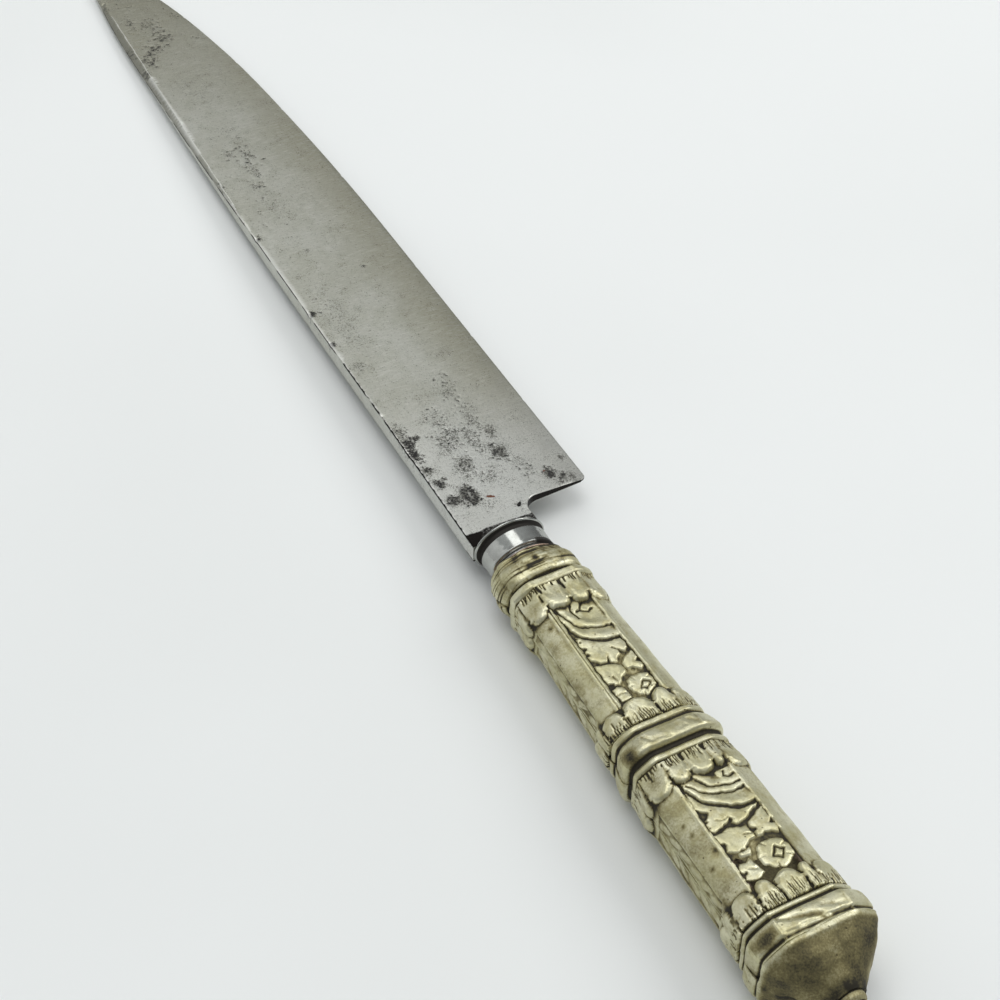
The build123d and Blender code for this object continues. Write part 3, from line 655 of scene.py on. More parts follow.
def panel_relief(x, y, panel):
    """Scrolls, leaves and flower of one panel, all at or below the level of its borders."""
    low, high = along(x, panel["low"]), along(x, panel["high"])
    height = np.full(x.shape, -GROUND_DEPTH)
    fan_x = panel["start"] + 1.0
    foot = min(v for _, v in panel["low"]) - 1.0
    for line in panel["bands"]:
        outline = line + [(line[-1][0], foot), (fan_x, foot), (fan_x, line[0][1])]
        d = line_distance(x, y, line)
        step = 0.05 - 0.22 * np.exp(-d / 0.25) - 0.26 * ease(0.75, 2.6, d)
        height = np.where(inside(x, y, outline), step, height) - 0.22 * bell(d, 0.17)
    for outline in panel["leaves"]:
        d = line_distance(x, y, outline + outline[:1]) * np.where(inside(x, y, outline), 1, -1)
        swell = -0.05 + 0.08 * ease(0.1, 0.9, d)
        pad = -GROUND_DEPTH + (GROUND_DEPTH + swell) * ease(-0.16, 0.20, d)
        height = np.maximum(height, np.where(d > -0.16, pad, height))
    for line, width, depth in panel["cuts"]:
        height -= depth * bell(line_distance(x, y, line), width)
    for nx, ny, size in panel["nicks"]:
        height -= 0.34 * np.exp(-(((x - nx) ** 2 + (y - ny) ** 2) / size ** 2) ** 1.5)
    height = np.maximum(height, -GROUND_DEPTH - 0.06)
    fx, fy, radius, moat = panel["flower"]
    cx, cy, size = panel["core"]
    angle = np.arctan2(y - fy, x - fx)
    r = np.hypot(x - fx, y - fy) * (1 + 0.035 * np.cos(5 * angle + 0.6) + 0.02 * np.cos(11 * angle))
    height = np.where((r > radius) & (r < radius + moat), np.minimum(height, -GROUND_DEPTH - 0.04), height)
    disc = -GROUND_DEPTH + (GROUND_DEPTH - 0.02) * np.sqrt(np.clip(1 - np.clip(r / radius, 0, 1) ** 7, 0, 1))
    for turn in (0.4, 1.5, 2.9, 4.1, 5.2):
        ray = np.abs(np.sin(angle - turn)) * r + 9.0 * (np.cos(angle - turn) < 0)
        disc -= 0.20 * bell(ray, 0.13) * ease(0.45, 0.75, r / radius) * (r < radius)
    height = np.where(r <= radius, disc, height)
    diamond = np.abs(x - cx + 0.25 * (y - cy)) + np.abs(y - cy)
    height -= 0.42 * bell(diamond - size, 0.27)
    inset = np.minimum(y - low, high - y)
    rim = 0.24 * bell(inset + 0.42, 0.32)
    wall = ease(0.0, 0.14, inset)
    height = height * wall + rim * (1 - wall)
    fade = ease(panel["end"] - 0.3, panel["end"], x) * ease(panel["start"] + 0.3, panel["start"], x)
    return height * fade


def uneven(rng, shape, waves):
    """The waves of an unevenness table, drawn in order and added up."""
    return sum(height * wander(rng, shape, rows, columns) for height, rows, columns in waves)


def side_relief(x, across, half):
    """Low, worn sprays of slanting leaves on a narrow side panel; the seam is at the stem."""
    height = np.zeros(x.shape)
    for start, end in SPRAY_SPANS:
        spray = np.full(x.shape, -SPRAY_DEPTH)
        for k in range(SPRAY_LEAVES):
            cx = start - (k + 0.62) * (start - end) / SPRAY_LEAVES
            u = (x - cx) * math.cos(SPRAY_SLANT) + (across - 0.1) * math.sin(SPRAY_SLANT)
            v = -(x - cx) * math.sin(SPRAY_SLANT) + (across - 0.1) * math.cos(SPRAY_SLANT)
            r = np.hypot(u / SPRAY_LEAF[0], v / SPRAY_LEAF[1])
            leaf = -SPRAY_DEPTH + 0.18 * (1 - np.clip(r, 0, 1) ** 3) - 0.07 * bell(v, 0.12) * (r < 0.85)
            spray = np.maximum(spray, leaf)
        inset = half - np.abs(across)
        wall = ease(0.25, 0.5, inset) * ease(end, end + 0.3, x) * ease(start, start - 0.3, x)
        height = np.where(wall > 0, spray * wall, height)
    return height


def smooth_skin(stations, half_w, half_h):
    """The sections of half_section() at every station, oval at the mouth and octagonal behind it."""
    points, normals, across, half, face = half_section(half_w, half_h, along(stations, CORNER_R))
    x = np.repeat(stations[:, None], points.shape[1], axis=1)
    polar = np.arctan2(points[..., 1] / half_h[:, None], points[..., 0] / half_w[:, None])
    oval = np.stack([np.cos(polar) * half_w[:, None], np.sin(polar) * half_h[:, None]], axis=2)
    oval_normal = np.stack([np.cos(polar) / half_w[:, None], np.sin(polar) / half_h[:, None]], axis=2)
    oval_normal /= np.linalg.norm(oval_normal, axis=2, keepdims=True)
    share = ease(OCTAGON_FROM_X, ELLIPSE_UNTIL_X, x)[..., None]
    points = points * (1 - share) + oval * share
    normals = normals * (1 - share) + oval_normal * share
    normals /= np.linalg.norm(normals, axis=2, keepdims=True)
    return x, points, normals, across, half, face


def ornament(rng, x, across, half, face, mirrored):
    """Heights of the borders, panels, folds and sprays, with the hatching and the ridges beside the panels."""
    relief, hatched, ridges = np.zeros(x.shape), np.zeros(x.shape), np.zeros(x.shape)
    warp_x, warp_y = uneven(rng, x.shape, WARP_ALONG), uneven(rng, x.shape, WARP_ACROSS)
    for number in range(len(FACE_COLUMNS)):
        on = face == number
        sub, wide, reach = x[:, on] + warp_x[:, on], across[:, on], half[:, on]
        bent = (wide + warp_y[:, on]) * (-1.0 if mirrored and number == TOP else 1.0)
        high, hatched[:, on] = border_relief(sub, bent, reach, number, rng)
        free = high == 0
        if number == TOP:
            for panel in (PANEL_1, PANEL_2):
                high += panel_relief(sub, bent, panel) * free
            for line, width, depth in FOLDS:
                high -= depth * bell(line_distance(sub, bent, line), width)
        elif number in (EDGE_SIDE, SPINE_SIDE):
            high += side_relief(sub, wide, reach) * free
        else:
            high += CHAMFER_CROWN * (1 - (wide / reach) ** 2) * free
            ridge = bell(reach + (wide if number == CHAMFER else -wide) - RIDGE_INSET, RIDGE_WIDTH)
            ridge *= free * ((sub > PANEL_1["end"]) | (sub < PANEL_2["start"])) * (sub < PANEL_1["start"])
            high += RIDGE_RISE * ridge
            ridges[:, on] = ridge
        relief[:, on] = high
    return blur(relief, 0.4, 0.4), hatched, ridges


def shell_grid(seed, mirrored):
    """Vertices of one shell's outer skin for the upper side, with its tarnish, which on the upper shell includes
    painted dark reflection.
    """
    rng = np.random.default_rng(seed)
    stations = shell_stations()
    half_w = rounded_profile(stations, BODY, 1, BODY_SOFTNESS)
    half_h = rounded_profile(stations, BODY, 2, BODY_SOFTNESS)
    x, points, normals, across, half, face = smooth_skin(stations, half_w, half_h)
    relief, hatched, ridges = ornament(rng, x, across, half, face, mirrored)
    seam = np.zeros(x.shape[1])
    seam[[0, -1]] = 1
    relief += uneven(rng, x.shape, SKIN_WAVES) - SEAM_DEPTH * seam
    bead = ease(-16.0, -14.6, x)
    turning = wander(rng, x.shape, 0.9, 14) * bead
    relief += 0.030 * turning + 0.11 * bead * wander(rng, x.shape, 9, 15)
    for _ in range(DENT_COUNT):
        row, column = rng.integers(len(stations)), rng.integers(x.shape[1])
        size = rng.uniform(*DENT_SIZES)
        spot = np.hypot(x - stations[row], (np.arange(x.shape[1]) - column)[None, :] * COLUMN_PITCH)
        relief -= rng.uniform(*DENT_DEPTHS) * bell(spot, size)

    level = relief + half_h[:, None]
    near = (blur(level, 4.0, 3.5) - level) / 0.30
    wide = np.clip((blur(level, 11.0, 8.0) - level - 0.05) / 0.60, 0, 1)
    patina_and_shade = 0.13 + np.clip(near, 0, 1.2) - 0.9 * np.clip(-near, 0, 0.3) + 0.55 * wide
    patina_and_shade += 1.1 * hatched / HATCH_DEPTH * (near > 0) + 0.8 * np.clip(-turning - 0.4, 0, 1.2) + 0.32 * bead
    # Stains, and painted dark reflection on the pommel ring's chamfer, for the upper shell only
    for number, sx, sy, radius, strength in () if mirrored else STAINS_AND_DARK_REFLECTIONS:
        on = face == number
        patina_and_shade[:, on] += strength * bell(np.hypot(x[:, on] - sx, across[:, on] - sy), radius)
    patina_and_shade += uneven(rng, x.shape, TARNISH_WAVES) + 0.07 * ease(-60.0, -95.0, x) + 0.25 * seam
    patina_and_shade += 0.06 * (face == EDGE_CHAMFER) + 0.10 * (face == CHAMFER) - 0.36 * ridges

    surface = points + normals * relief[..., None]
    surface[:, 0, 1] = surface[:, -1, 1] = 0.0
    verts = np.dstack([x, surface[..., 0], surface[..., 1]])
    return verts, np.clip(patina_and_shade, 0, 1)


def build_shell(name, node, mirrored, seed):
    """A half handle: skin, inner wall, both ends and the two seam faces, closed."""
    skin, patina_and_shade = shell_grid(seed, mirrored)
    columns = skin.shape[1]
    hollow = np.array(INNER)
    section, *_ = half_section(hollow[:, 1], hollow[:, 2], INNER_CORNER_R)
    inner = np.dstack([np.repeat(hollow[:, :1], columns, axis=1), section])
    verts = np.concatenate([skin.reshape(-1, 3), inner.reshape(-1, 3)])
    if mirrored:
        verts[:, 2] *= -1
    numbers = np.arange(len(verts)).reshape(-1, columns)
    outer, wall = numbers[:len(skin)], numbers[len(skin):]
    faces = quads(outer, mirrored) + quads(wall, not mirrored)
    faces += quads(np.stack([outer[0], wall[0]]), not mirrored) + quads(np.stack([outer[-1], wall[-1]]), mirrored)
    for column, turn in ((0, mirrored), (-1, not mirrored)):
        seam = outer[:, column].tolist() + wall[::-1, column].tolist()
        faces.append(seam[::-1] if turn else seam)
    fields = {"patina_and_shade": np.append(patina_and_shade, np.full(wall.size, INNER_PATINA))}
    return add_piece(name, verts, faces, SILVER, "handle_metal", (node,), fields, crease=60.0)


build_shell("handle_upper", "handle_shell_upper", False, 11)
build_shell("handle_lower", "handle_shell_lower", True, 23)


# ---- turned pieces round the axis
OCTAGON_SHARPNESS = 22.0


def ring_points(half_w, half_h, squareness, count):
    """A closed section between an oval (0) and the handle's rounded octagon (1)."""
    angle = np.linspace(0, 2 * math.pi, count, endpoint=False)
    c, s = np.cos(angle), np.sin(angle)
    side = SIDE_FLAT * half_h
    slope_w, slope_h = half_h - side, half_w - TOP_FLAT * half_w
    chamfer = np.abs(c) * half_w * slope_w + np.abs(s) * half_h * slope_h
    planes = [np.abs(c), np.abs(s), chamfer / (slope_w * half_w + slope_h * side)]
    radius = 1 + (sum(p ** OCTAGON_SHARPNESS for p in planes) ** (-1 / OCTAGON_SHARPNESS) - 1) * squareness
    return np.stack([c * half_w * radius, s * half_h * radius], axis=1)


def revolve(sections, count, rng, roughen):
    """Closed loft through (x, half width, half height, squareness) sections, ends capped by fans."""
    grid = np.array([np.column_stack([np.full(count, x), ring_points(w, h, q, count)]) for x, w, h, q in sections])
    sway = wander(rng, grid.shape[:2], 4, 9)
    sway[:, :8] = sway[:, :8] * np.linspace(0, 1, 8) + sway[:, -1:] * np.linspace(1, 0, 8)
    radial = grid[..., 1:] / np.linalg.norm(grid[..., 1:], axis=2, keepdims=True)
    grid[..., 1:] += radial * (roughen * sway)[..., None]
    verts = np.concatenate([grid.reshape(-1, 3), [grid[0].mean(axis=0)], [grid[-1].mean(axis=0)]])
    numbers = np.arange(sway.size).reshape(sway.shape)
    numbers = np.hstack([numbers, numbers[:, :1]])
    faces = quads(numbers)
    first, last = numbers[0].tolist(), numbers[-1].tolist()
    for j in range(count):
        faces += [(sway.size, first[j + 1], first[j]), (sway.size + 1, last[j], last[j + 1])]
    return verts, faces, grid


def profile_sections(rows, pitch, softness, squareness=lambda x: 0.0 * x):
    """Dense sections along a (x, half width, half height) table, corners rounded."""
    x = np.arange(rows[0][0], rows[-1][0] - 1e-6, -pitch)
    w = rounded_profile(x, rows, 1, softness)
    h = rounded_profile(x, rows, 2, softness)
    return np.column_stack([x, w, h, squareness(x)])


def hollow_field(sections, grid, reach, gain):
    """Tarnish for the low rings of a turned piece."""
    height = sections[:, 1]
    deep = np.clip((blur_rows(height, reach) - height) * gain, 0, 1)
    field = np.repeat(deep[:, None], grid.shape[1], axis=1).ravel()
    return np.concatenate([field, [deep[0], deep[-1]]])


BOLSTER = [
    (0.0, 6.9, 5.25), (-0.2, 7.3, 5.6), (-0.45, 7.38, 5.68), (-0.62, 7.3, 5.6), (-0.8, 6.7, 5.1), (-0.95, 6.2, 4.7),
    (-1.95, 6.15, 4.65), (-2.1, 6.6, 5.15), (-2.35, 6.8, 5.38), (-3.2, 6.76, 5.34), (-5.6, 6.7, 5.3),
    (-6.3, 6.78, 5.36), (-6.48, 6.5, 5.1), (-6.6, 6.05, 4.65), (-7.3, 6.0, 4.6), (-7.5, 6.3, 4.9),
    (-7.6, 6.2, 4.8), (-7.75, 5.6, 4.2), (-12.5, 5.6, 4.2),
]
rng = np.random.default_rng(5)
sections = profile_sections(BOLSTER, 0.06, 0.05)
verts, faces, grid = revolve(sections, 160, rng, 0.006)
tarnish = hollow_field(sections, grid, 9.0, 3.0)
# Painted shade of the mouth's groove on the barrel's -Y side; the groove behind the flange is darkened fully, and
# the flange is tarnished
mouth = ease(-4.9, -5.9, grid[..., 0]) * ease(-1.0, -3.2, grid[..., 1])
mouth += 1.2 * (np.abs(grid[..., 0] + 1.38) < 0.66) + 0.7 * (grid[..., 0] > -0.12)
tarnish[:mouth.size] = np.maximum(tarnish[:mouth.size], 0.8 * mouth.ravel())
add_piece("bolster_turned", verts, faces, BRIGHT_STEEL, "bolster_steel", ("bolster",), {"patina_and_shade": tarnish})

WASHER = [(-7.58, 6.4, 5.05), (-7.64, 6.72, 5.36), (-7.8, 6.85, 5.5), (-7.98, 6.8, 5.44), (-8.12, 6.4, 5.0)]
sections = profile_sections(WASHER, 0.03, 0.03)
verts, faces, grid = revolve(sections, 160, np.random.default_rng(6), 0.02)
add_piece("mouth_washer_copper", verts, faces, COPPER, "washer_copper", ("mouth_washer",))

CAP = [
    (-103.5, 10.85, 8.7), (-104.0, 10.85, 8.7), (-104.4, 10.65, 8.55), (-104.7, 10.25, 8.2), (-105.0, 10.05, 8.05),
    (-106.0, 9.45, 7.6), (-107.0, 8.7, 7.1), (-108.5, 7.15, 6.0), (-110.0, 5.55, 4.9), (-111.5, 4.1, 3.9),
    (-112.2, 3.4, 3.4), (-112.6, 2.9, 2.9),
]
rng = np.random.default_rng(8)
sections = profile_sections(CAP, 0.08, 0.12, lambda x: ease(-112.0, -107.0, x))
verts, faces, grid = revolve(sections, 200, rng, 0.05)
polar = np.arctan2(grid[..., 2], grid[..., 1])
# Painted dark reflection: the dome's chamfer corners next to the ring are darkened a little
corners = bell(np.abs(np.abs(polar) - math.pi / 2) - 0.85, 0.35)
tarnish = 0.52 + 0.08 * corners * ease(-103.6, -104.6, grid[..., 0]) + 0.05 * wander(rng, grid.shape[:2], 22, 8)
tarnish += 0.07 * wander(rng, grid.shape[:2], 7, 2.5)
tarnish += 0.3 * ease(-110.5, -112.3, grid[..., 0])
tarnish *= ease(-103.7, -104.9, grid[..., 0]) * 0.8 + 0.2
add_piece("pommel_dome", verts, faces, CAP_SILVER, "cap_metal", ("pommel_cap",),
          {"patina_and_shade": np.clip(np.append(tarnish.ravel(), [0.2, 0.8]), 0, 1)})

BUTTON = [(-112.4, 2.5, 2.5), (-112.6, 2.62, 2.62), (-113.1, 2.68, 2.68), (-113.6, 2.6, 2.6), (-113.95, 2.35, 2.35),
          (-114.15, 2.1, 2.1)]
rng = np.random.default_rng(9)
outer = profile_sections(BUTTON, 0.06, 0.06)
dish = [(-114.15, 1.95, 1.95, 0.0), (-114.0, 1.82, 1.82, 0.0), (-113.75, 1.7, 1.7, 0.0), (-113.55, 1.55, 1.55, 0.0),
        (-113.5, 1.2, 1.2, 0.0)]
sections = np.concatenate([outer, dish])
verts, faces, grid = revolve(sections, 96, rng, 0.02)
rim_dark = np.clip(0.35 + 0.5 * (sections[:, 0] > -112.8) + 0.5 * (np.arange(len(sections)) >= len(outer)), 0, 1)
add_piece("end_button_dished", verts, faces, CAP_SILVER, "cap_metal", ("end_button",),
          {"patina_and_shade": np.append(np.repeat(rim_dark, 96), [0.9, 0.9])})


# ---- blade
def wedge_half(x, y):
    return SPINE_HALF - LENGTH_TAPER * x - CROSS_TAPER * (SPINE_ROOT_Y - y)


def flank_half(x, y):
    """Half thickness of the plain wedge, which thins faster in front of FRONT_X."""
    back = wedge_half(x, y)
    return np.minimum(back, back + LENGTH_TAPER * (x - FRONT_X) - FRONT_TAPER * (x - FRONT_X))


def clip_half(x, y):
    """Half thickness on the plane of the clip bevel."""
    corners = np.array([(*place, 1.0) for place in (CLIP_START, CLIP_END, CLIP_BACK)])
    a, b, c = np.linalg.solve(corners, [wedge_half(*CLIP_START), wedge_half(*CLIP_END), CLIP_THIN_HALF])
    return a * x + b * y + c


def edge_y(x):
    y = np.where(x < EDGE_POINTS[0][0], EDGE_POINTS[0][1], hermite(x, EDGE_POINTS, EDGE_END_SLOPES))
    for place, width, depth in EDGE_NICKS:
        y = y + depth * bell(x - place, width)
    return y


def spine_y(x):
    return hermite(x, SPINE_POINTS, SPINE_END_SLOPES)


def clip_ridge_y(x):
    return along(x, [CLIP_START, CLIP_END])


def grid_points(low_x, high_x, low_y, high_y, pitch):
    x, y = np.meshgrid(np.arange(low_x, high_x, pitch), np.arange(low_y, high_y, pitch))
    return np.column_stack([x.ravel(), y.ravel()])


def blade_outline(inset):
    """The blade's outline from the heel along the edge to the tip and back along the spine."""
    edge_x = np.concatenate([np.arange(HEEL_X + HEEL_CORNER_R, 225.0, 0.45), np.linspace(225.0, TIP[0] - inset, 45)])
    spine_x = np.concatenate([np.linspace(TIP[0] - inset, 225.0, 45), np.arange(224.6, 0.2, -0.45), [0.0]])
    turn = np.linspace(math.pi, 1.5 * math.pi, 9)
    corner = [(HEEL_X + inset + HEEL_CORNER_R * (1 + math.cos(t)) * (1 - inset / HEEL_CORNER_R),
               EDGE_POINTS[0][1] + HEEL_CORNER_R + (HEEL_CORNER_R) * math.sin(t)) for t in turn]
    heel = [(HEEL_X + inset, y) for y in np.arange(NECK_Y - NECK_R - 0.4, EDGE_POINTS[0][1] + HEEL_CORNER_R, -0.45)]
    bend = np.linspace(0.5 * math.pi, 0.0, 13)
    neck = [(HEEL_X - NECK_R + (NECK_R + inset) * math.cos(t), NECK_Y - NECK_R + (NECK_R + inset) * math.sin(t))
            for t in bend]
    stem = [(x, NECK_Y + inset) for x in np.arange(0.0, HEEL_X - NECK_R - 0.1, 0.45)]
    edge = [(x, edge_y(x)) for x in edge_x]
    spine = [(x, spine_y(x) - inset) for x in spine_x]
    return stem + neck + heel + corner[:-1] + edge + spine[(1 if inset == 0 else 0):]


def soft_minimum(a, b, blend):
    """The lesser of two heights, rounded where they cross."""
    return np.minimum(a, b) - blend * np.log1p(np.exp(-np.abs(a - b) / blend))


def half_thickness(x, y, upper):
    """Half thickness with bevels, the rounded spine, dents and a slight unevenness."""
    gap = y - edge_y(x)
    plain = np.minimum(flank_half(x, y), clip_half(x, y))
    z = soft_minimum(plain, GROUND_BEVEL[0] + GROUND_BEVEL[1] * np.maximum(gap, 0), 0.06)
    z = np.minimum(z, HONED_BEVEL[0] + HONED_BEVEL[1] * np.maximum(gap, 0))
    z = np.where(x < HEEL_X + 0.01, plain, z)
    wave = 0.5 + 0.5 * np.sin(0.21 * x + 0.13 * y) * np.sin(0.09 * x - 0.4 * y + 1.0)
    z = z - 0.02 * wave * ease(0.3, 2.0, gap)
    for place, width, depth in SPINE_DENTS:
        z = z - depth * bell(x - place, width) * bell(spine_y(x) - y, 0.6) * (1.0 if upper else 0.4)
    return z


def pit_field(x, y, clusters, rng):
    """How corroded each point is (1 at the heart of a pit), and how spotted the skin round it is."""
    pits, spotted = np.zeros(len(x)), np.zeros(len(x))
    for cx, cy, spread_x, spread_y, count, largest in clusters:
        loose = 1.7 if cx > 100 else 1.0
        px = cx + loose * spread_x * rng.normal(size=count)
        py = cy + loose * spread_y * rng.normal(size=count)
        size = largest * rng.uniform(0.5, 1.1, size=count)
        depth = rng.uniform(0.6, 1.0, size=count)
        crowd = min(1.0, count * largest ** 2 / (3.0 * spread_x * spread_y + 0.4))
        near = bell(x - cx, 1.5 * spread_x + 0.3) * bell(y - cy, 1.5 * spread_y + 0.3)
        spotted = np.maximum(spotted, (0.35 + 0.65 * crowd) * near / loose)
        close = (np.abs(x - cx) < 5 * spread_x + 1.5) & (np.abs(y - cy) < 5 * spread_y + 1.5)
        nx, ny, part = x[close], y[close], pits[close]
        for k in range(count):
            part = np.maximum(part, depth[k] * bell(np.hypot(nx - px[k], ny - py[k]), size[k]))
        pits[close] = part
    return pits, spotted


def flank_points():
    """Flat points of a flank: outline, a rim just inside it, the bevel lines and the fill."""
    rng = np.random.default_rng(31)
    patches = []
    coarse = grid_points(0.8, TIP[0], -21.0, 7.2, COARSE_PITCH)
    for low_x, high_x, low_y, high_y, pitch in FINE_PATCHES:
        patches.append(grid_points(low_x, high_x, low_y, high_y, pitch))
        low, high = np.array([low_x, low_y]) - 0.4, np.array([high_x, high_y]) + 0.4
        coarse = coarse[~((coarse > low) & (coarse < high)).all(axis=1)]
    fill = np.concatenate(patches + [coarse])
    fill += rng.uniform(-0.04, 0.04, size=fill.shape)
    x, y = fill.T
    keep = (y > edge_y(x) + 0.35) & (y < spine_y(x) - 0.35) & (x < TIP[0] - 1.5)
    bend_x, bend_y = HEEL_X - NECK_R, NECK_Y - NECK_R
    bend = np.hypot(x - bend_x, y - bend_y) < NECK_R + 0.4
    keep &= ~((x < HEEL_X + 0.5) & (y < NECK_Y + 0.4) & (bend | (x < bend_x) | (y < bend_y)))
    keep &= ~((x < HEEL_X + 1.6) & (y < EDGE_POINTS[0][1] + 1.6))
    honed = [(px, edge_y(px) + 0.18) for px in np.arange(HEEL_X + 1.8, TIP[0] - 1.0, 0.5)]
    ridge_x = np.linspace(CLIP_START[0], CLIP_END[0], 150)
    ridge = list(zip(ridge_x, clip_ridge_y(ridge_x)))
    return blade_outline(0.0), blade_outline(RIM_INSET), honed, ridge, fill[keep]


def skin_and_wall(x, y, cut_faces):
    """Faces of both flanks and of the wall between them, which has two inner rings, and the flank's rim."""
    count = len(x)
    faces, headings = [], set()
    for a, b, c in cut_faces:
        area = (x[b] - x[a]) * (y[c] - y[a]) - (x[c] - x[a]) * (y[b] - y[a])
        f = (a, b, c) if area > 0 else (c, b, a)
        faces += [f, tuple(count + v for v in f[::-1])]
        headings |= set(zip(f, f[1:] + f[:1]))
    rim_edges = sorted((a, b) for a, b in headings if (b, a) not in headings)
    rim = np.array(sorted({a for a, _ in rim_edges}))
    place = {v: 2 * count + i for i, v in enumerate(rim)}
    for a, b in rim_edges:
        upper_a, upper_b = place[a], place[b]
        lower_a, lower_b = upper_a + len(rim), upper_b + len(rim)
        faces += [(b, a, upper_a, upper_b), (upper_b, upper_a, lower_a, lower_b),
                  (lower_b, lower_a, count + a, count + b)]
    return faces, rim


def flank_marks(x, y, on_rim, near_rim, at_spine):
    """Painted highlights on the clip's ridge and the spine's rim, painted shade on the clip's bevel, rust, the
    shoulder's painted shadow and all dark stains, for the upper flank.
    """
    above_ridge = y - clip_ridge_y(x)
    clipped = (x > CLIP_START[0]) & (x < CLIP_END[0] + 20)
    # Painted highlights: a bright line along the spine's rim and one along the clip's ridge
    painted_highlight = np.maximum(0.7 * near_rim * (x < CLIP_START[0] + 8), 0.9 * clipped * (np.abs(above_ridge) < 0.02))
    # Painted shade on the clip bevel behind its ridge
    back = clipped * ease(0.1, 0.6, above_ridge)
    rust = np.max([bell(np.hypot(x - rx, y - ry), radius) for rx, ry, radius in RUST_SPOTS], axis=0)
    # Painted shadow: the blade darkens towards the bolster, in a band that widens below the spine
    reach = 3.2 + 0.45 * ease(4.6, 2.6, y)
    shoulder = (0.56 + 0.26 * ease(3.0, 6.6, y)) * ease(reach + 0.3, reach - 0.2, x)
    # The spine's corner is dark, in broken lengths further out
    broken = ease(-1.7, 0.0, np.sin(0.9 * x) + np.sin(0.37 * x + 1.0))
    corner = np.maximum(broken, x < 32.0) * 0.95 * on_rim * at_spine
    nick = 1.5 * bell(x - y - 12.6) * bell(x + y - 0.8, 0.42)
    worn_rim = (0.34 + 0.22 * (np.sin(2.7 * x) > 0)) * near_rim * (x < 60)
    return painted_highlight, back, rust, shoulder, np.max([shoulder, corner, nick, worn_rim], axis=0)


def build_blade():
    """The blade with its tang: both flanks, the wall between them, and the tang."""
    outer, inner, honed, ridge, fill = flank_points()
    flat = [Vector((float(px), float(py))) for px, py in [*outer, *inner, *honed, *ridge, *fill]]
    outline = list(range(len(outer)))
    edges = list(zip(outline, outline[1:] + outline[:1]))
    start = len(outer) + len(inner)
    for line in (honed, ridge):
        edges += [(start + i, start + i + 1) for i in range(len(line) - 1)]
        start += len(line)
    cut_verts, _, cut_faces, origin, _, _ = delaunay_2d_cdt(flat, edges, [outline], 1, 1e-4)
    x, y = np.array([(v.x, v.y) for v in cut_verts]).T
    kind = np.array([min(o) if o else len(flat) for o in origin])
    on_rim = kind < len(outer)
    at_spine = y > spine_y(x) - 0.05
    heights, pits, spots = [], [], []
    for upper in (True, False):
        clusters = PIT_CLUSTERS
        if not upper:
            clusters = [(0.97 * cx + 6.0, -6.5 - 0.85 * (cy + 6.5), *rest) for cx, cy, *rest in PIT_CLUSTERS]
        pit, spotted = pit_field(x, y, clusters, np.random.default_rng(41 if upper else 43))
        z = half_thickness(x, y, upper)
        z = z - PIT_DEPTH * np.minimum(pit, 1.0) * ease(0.0, 0.4, z)
        soft = on_rim & (at_spine | (x < HEEL_X + 0.05))
        z = np.maximum(np.where(soft, z - SOFT_CORNER, z), THINNEST_HALF)
        heights.append(z if upper else -z)
        pits.append(pit)
        spots.append(spotted)

    faces, rim = skin_and_wall(x, y, cut_faces)
    verts = [np.column_stack([x, y, z]) for z in heights]
    verts += [np.column_stack([x[rim], y[rim], WALL_SHARE * z[rim]]) for z in heights]
    tang_verts, tang_faces, _ = revolve(TANG, 48, np.random.default_rng(12), 0.03)
    start = sum(map(len, verts))
    faces += [tuple(start + v for v in f) for f in tang_faces]

    near_rim = (kind >= len(outer)) & (kind < len(outer) + len(inner)) & (y > spine_y(x) - 2 * RIM_INSET)
    painted_highlight, back, rust, shoulder, stain_and_shadow = flank_marks(x, y, on_rim, near_rim, at_spine)
    # Painted shadow and stain: the heel's wall is nearly black
    heel_wall = 0.95 * ((x[rim] < HEEL_X + 0.4) & (y[rim] < 0))
    none, clean = np.zeros(len(x)), np.zeros(len(rim))

    def everywhere(upper, lower, upper_wall, lower_wall, tang):
        return np.concatenate([upper, lower, upper_wall, lower_wall, np.full(len(tang_verts), tang)])

    fields = {"pit": everywhere(*pits, pits[0][rim], pits[1][rim], 0.25),
              "spots": everywhere(*spots, spots[0][rim], spots[1][rim], 0.4),
              "rust": everywhere(rust, none, clean, clean, 0.0),
              "stain_and_shadow": everywhere(stain_and_shadow, shoulder, heel_wall, heel_wall, 0.45),
              # Painted highlights on both flanks, and a painted reflection that lightens the spine's wall
              "painted_highlight": everywhere(painted_highlight, painted_highlight, 0.3 * at_spine[rim], 0.3 * at_spine[rim], 0.0),
              "back": everywhere(back, back, clean, clean, 0.0)}
    add_piece("blade_forged", np.concatenate(verts + [tang_verts]), faces, STEEL, "blade_steel", ("blade",), fields,
              crease=22.0)


build_blade()

# ---- hidden CAD nodes keep their shape
for node_name, material in (("handle_filling", RESIN), ("seam_solder_spine", SOLDER), ("seam_solder_edge", SOLDER),
                            ("cap_solder_ring", SOLDER)):
    for material_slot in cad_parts[node_name].material_slots:
        material_slot.material = material

# ---- floor, light and camera
# The knife lies on its pommel ring and its tip, so the floor slopes in the CAD frame.
FLOOR_HALF = 4.0
rest_x, rest_z = -102.0 * MM, cad_box[0][2] - 0.07 * MM
tip_x, tip_z = cad_box[1][0], -0.6 * MM
floor_tilt = math.atan((tip_z - rest_z) / (tip_x - rest_x))
floor_points = np.array([(-1, -1, 0), (1, -1, 0), (1, 1, 0), (-1, 1, 0)]) * FLOOR_HALF / MM
floor = add_piece("studio_floor", floor_points, [(0, 1, 2, 3)], PAPER)
floor.matrix_world = Matrix.Translation((rest_x, 0, rest_z)) @ Matrix.Rotation(-floor_tilt, 4, "Y")

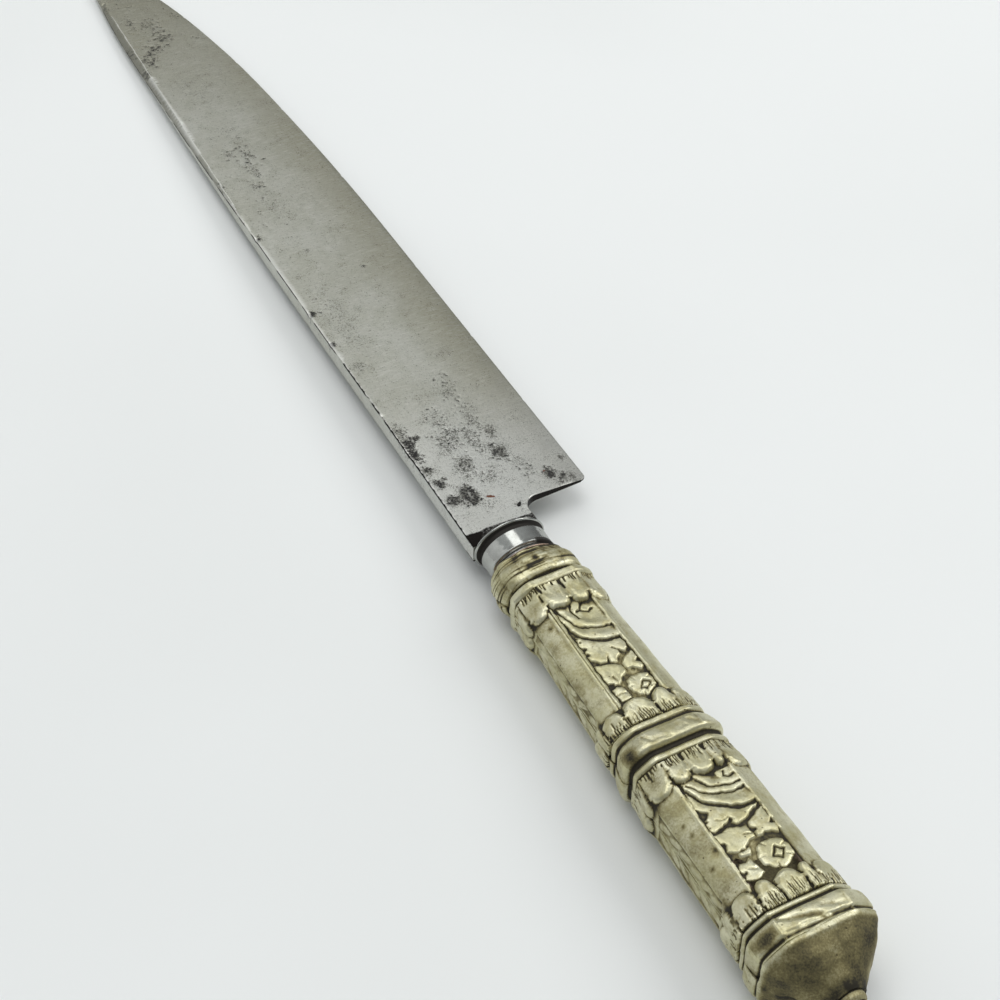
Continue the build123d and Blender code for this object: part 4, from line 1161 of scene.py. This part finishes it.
CAMERA_PLACE = Vector((-247.6, 131.7, 282.8)) * MM
CAMERA_RIGHT = Vector((-0.4647, -0.8855, 0.0)).normalized()
CAMERA_BACK = -Vector((0.6356, -0.3336, -0.6963)).normalized()
camera_data = bpy.data.cameras.new("camera")
camera_data.lens, camera_data.sensor_width, camera_data.clip_start = 76.28, 36.0, 0.01
camera = bpy.data.objects.new("camera", camera_data)
turned = Matrix((CAMERA_RIGHT, CAMERA_BACK.cross(CAMERA_RIGHT), CAMERA_BACK)).transposed()
camera.matrix_world = Matrix.Translation(CAMERA_PLACE) @ turned.to_4x4()
bpy.context.scene.collection.objects.link(camera)
bpy.context.scene.camera = camera

# Soft boxes in metres: (name, place, width, height, watts)
LIGHT_TARGET = Vector((0.03, 0.0, 0.0))
LIGHTS = [("key_box", (-0.10, -0.95, 0.85), 0.75, 0.75, 5.6), ("overhead_box", (0.10, 0.10, 1.20), 0.8, 0.8, 3.9),
          ("fill_box", (0.95, 0.95, 0.55), 1.2, 1.2, 1.9), ("band_box", (0.80, -0.16, 0.90), 0.4, 0.5, 1.1)]
for light_name, light_place, width, height, watts in LIGHTS:
    data = bpy.data.lights.new(light_name, "AREA")
    data.shape = "RECTANGLE"
    data.size, data.size_y, data.energy = width, height, watts
    light = bpy.data.objects.new(light_name, data)
    light.location = light_place
    light.rotation_euler = (LIGHT_TARGET - Vector(light_place)).to_track_quat("-Z", "Y").to_euler()
    bpy.context.scene.collection.objects.link(light)

# A pale surround, brighter overhead
sky = Graph("studio", bpy.data.worlds)
up = sky.node("SeparateXYZ", [(0, sky.coordinates["Generated"])]).outputs["Z"]
level = sky.node("MapRange", [("Value", up), ("From Min", 0.20), ("From Max", 0.85), ("To Min", 0.26),
                              ("To Max", 0.60)])
background = sky.tree.nodes["Background"].inputs
sky.feed(background["Strength"], level.outputs["Result"])
sky.feed(background["Color"], (0.95, 0.98, 1.0))
bpy.context.scene.world = sky.owner
bpy.context.scene.view_settings.view_transform = "Standard"
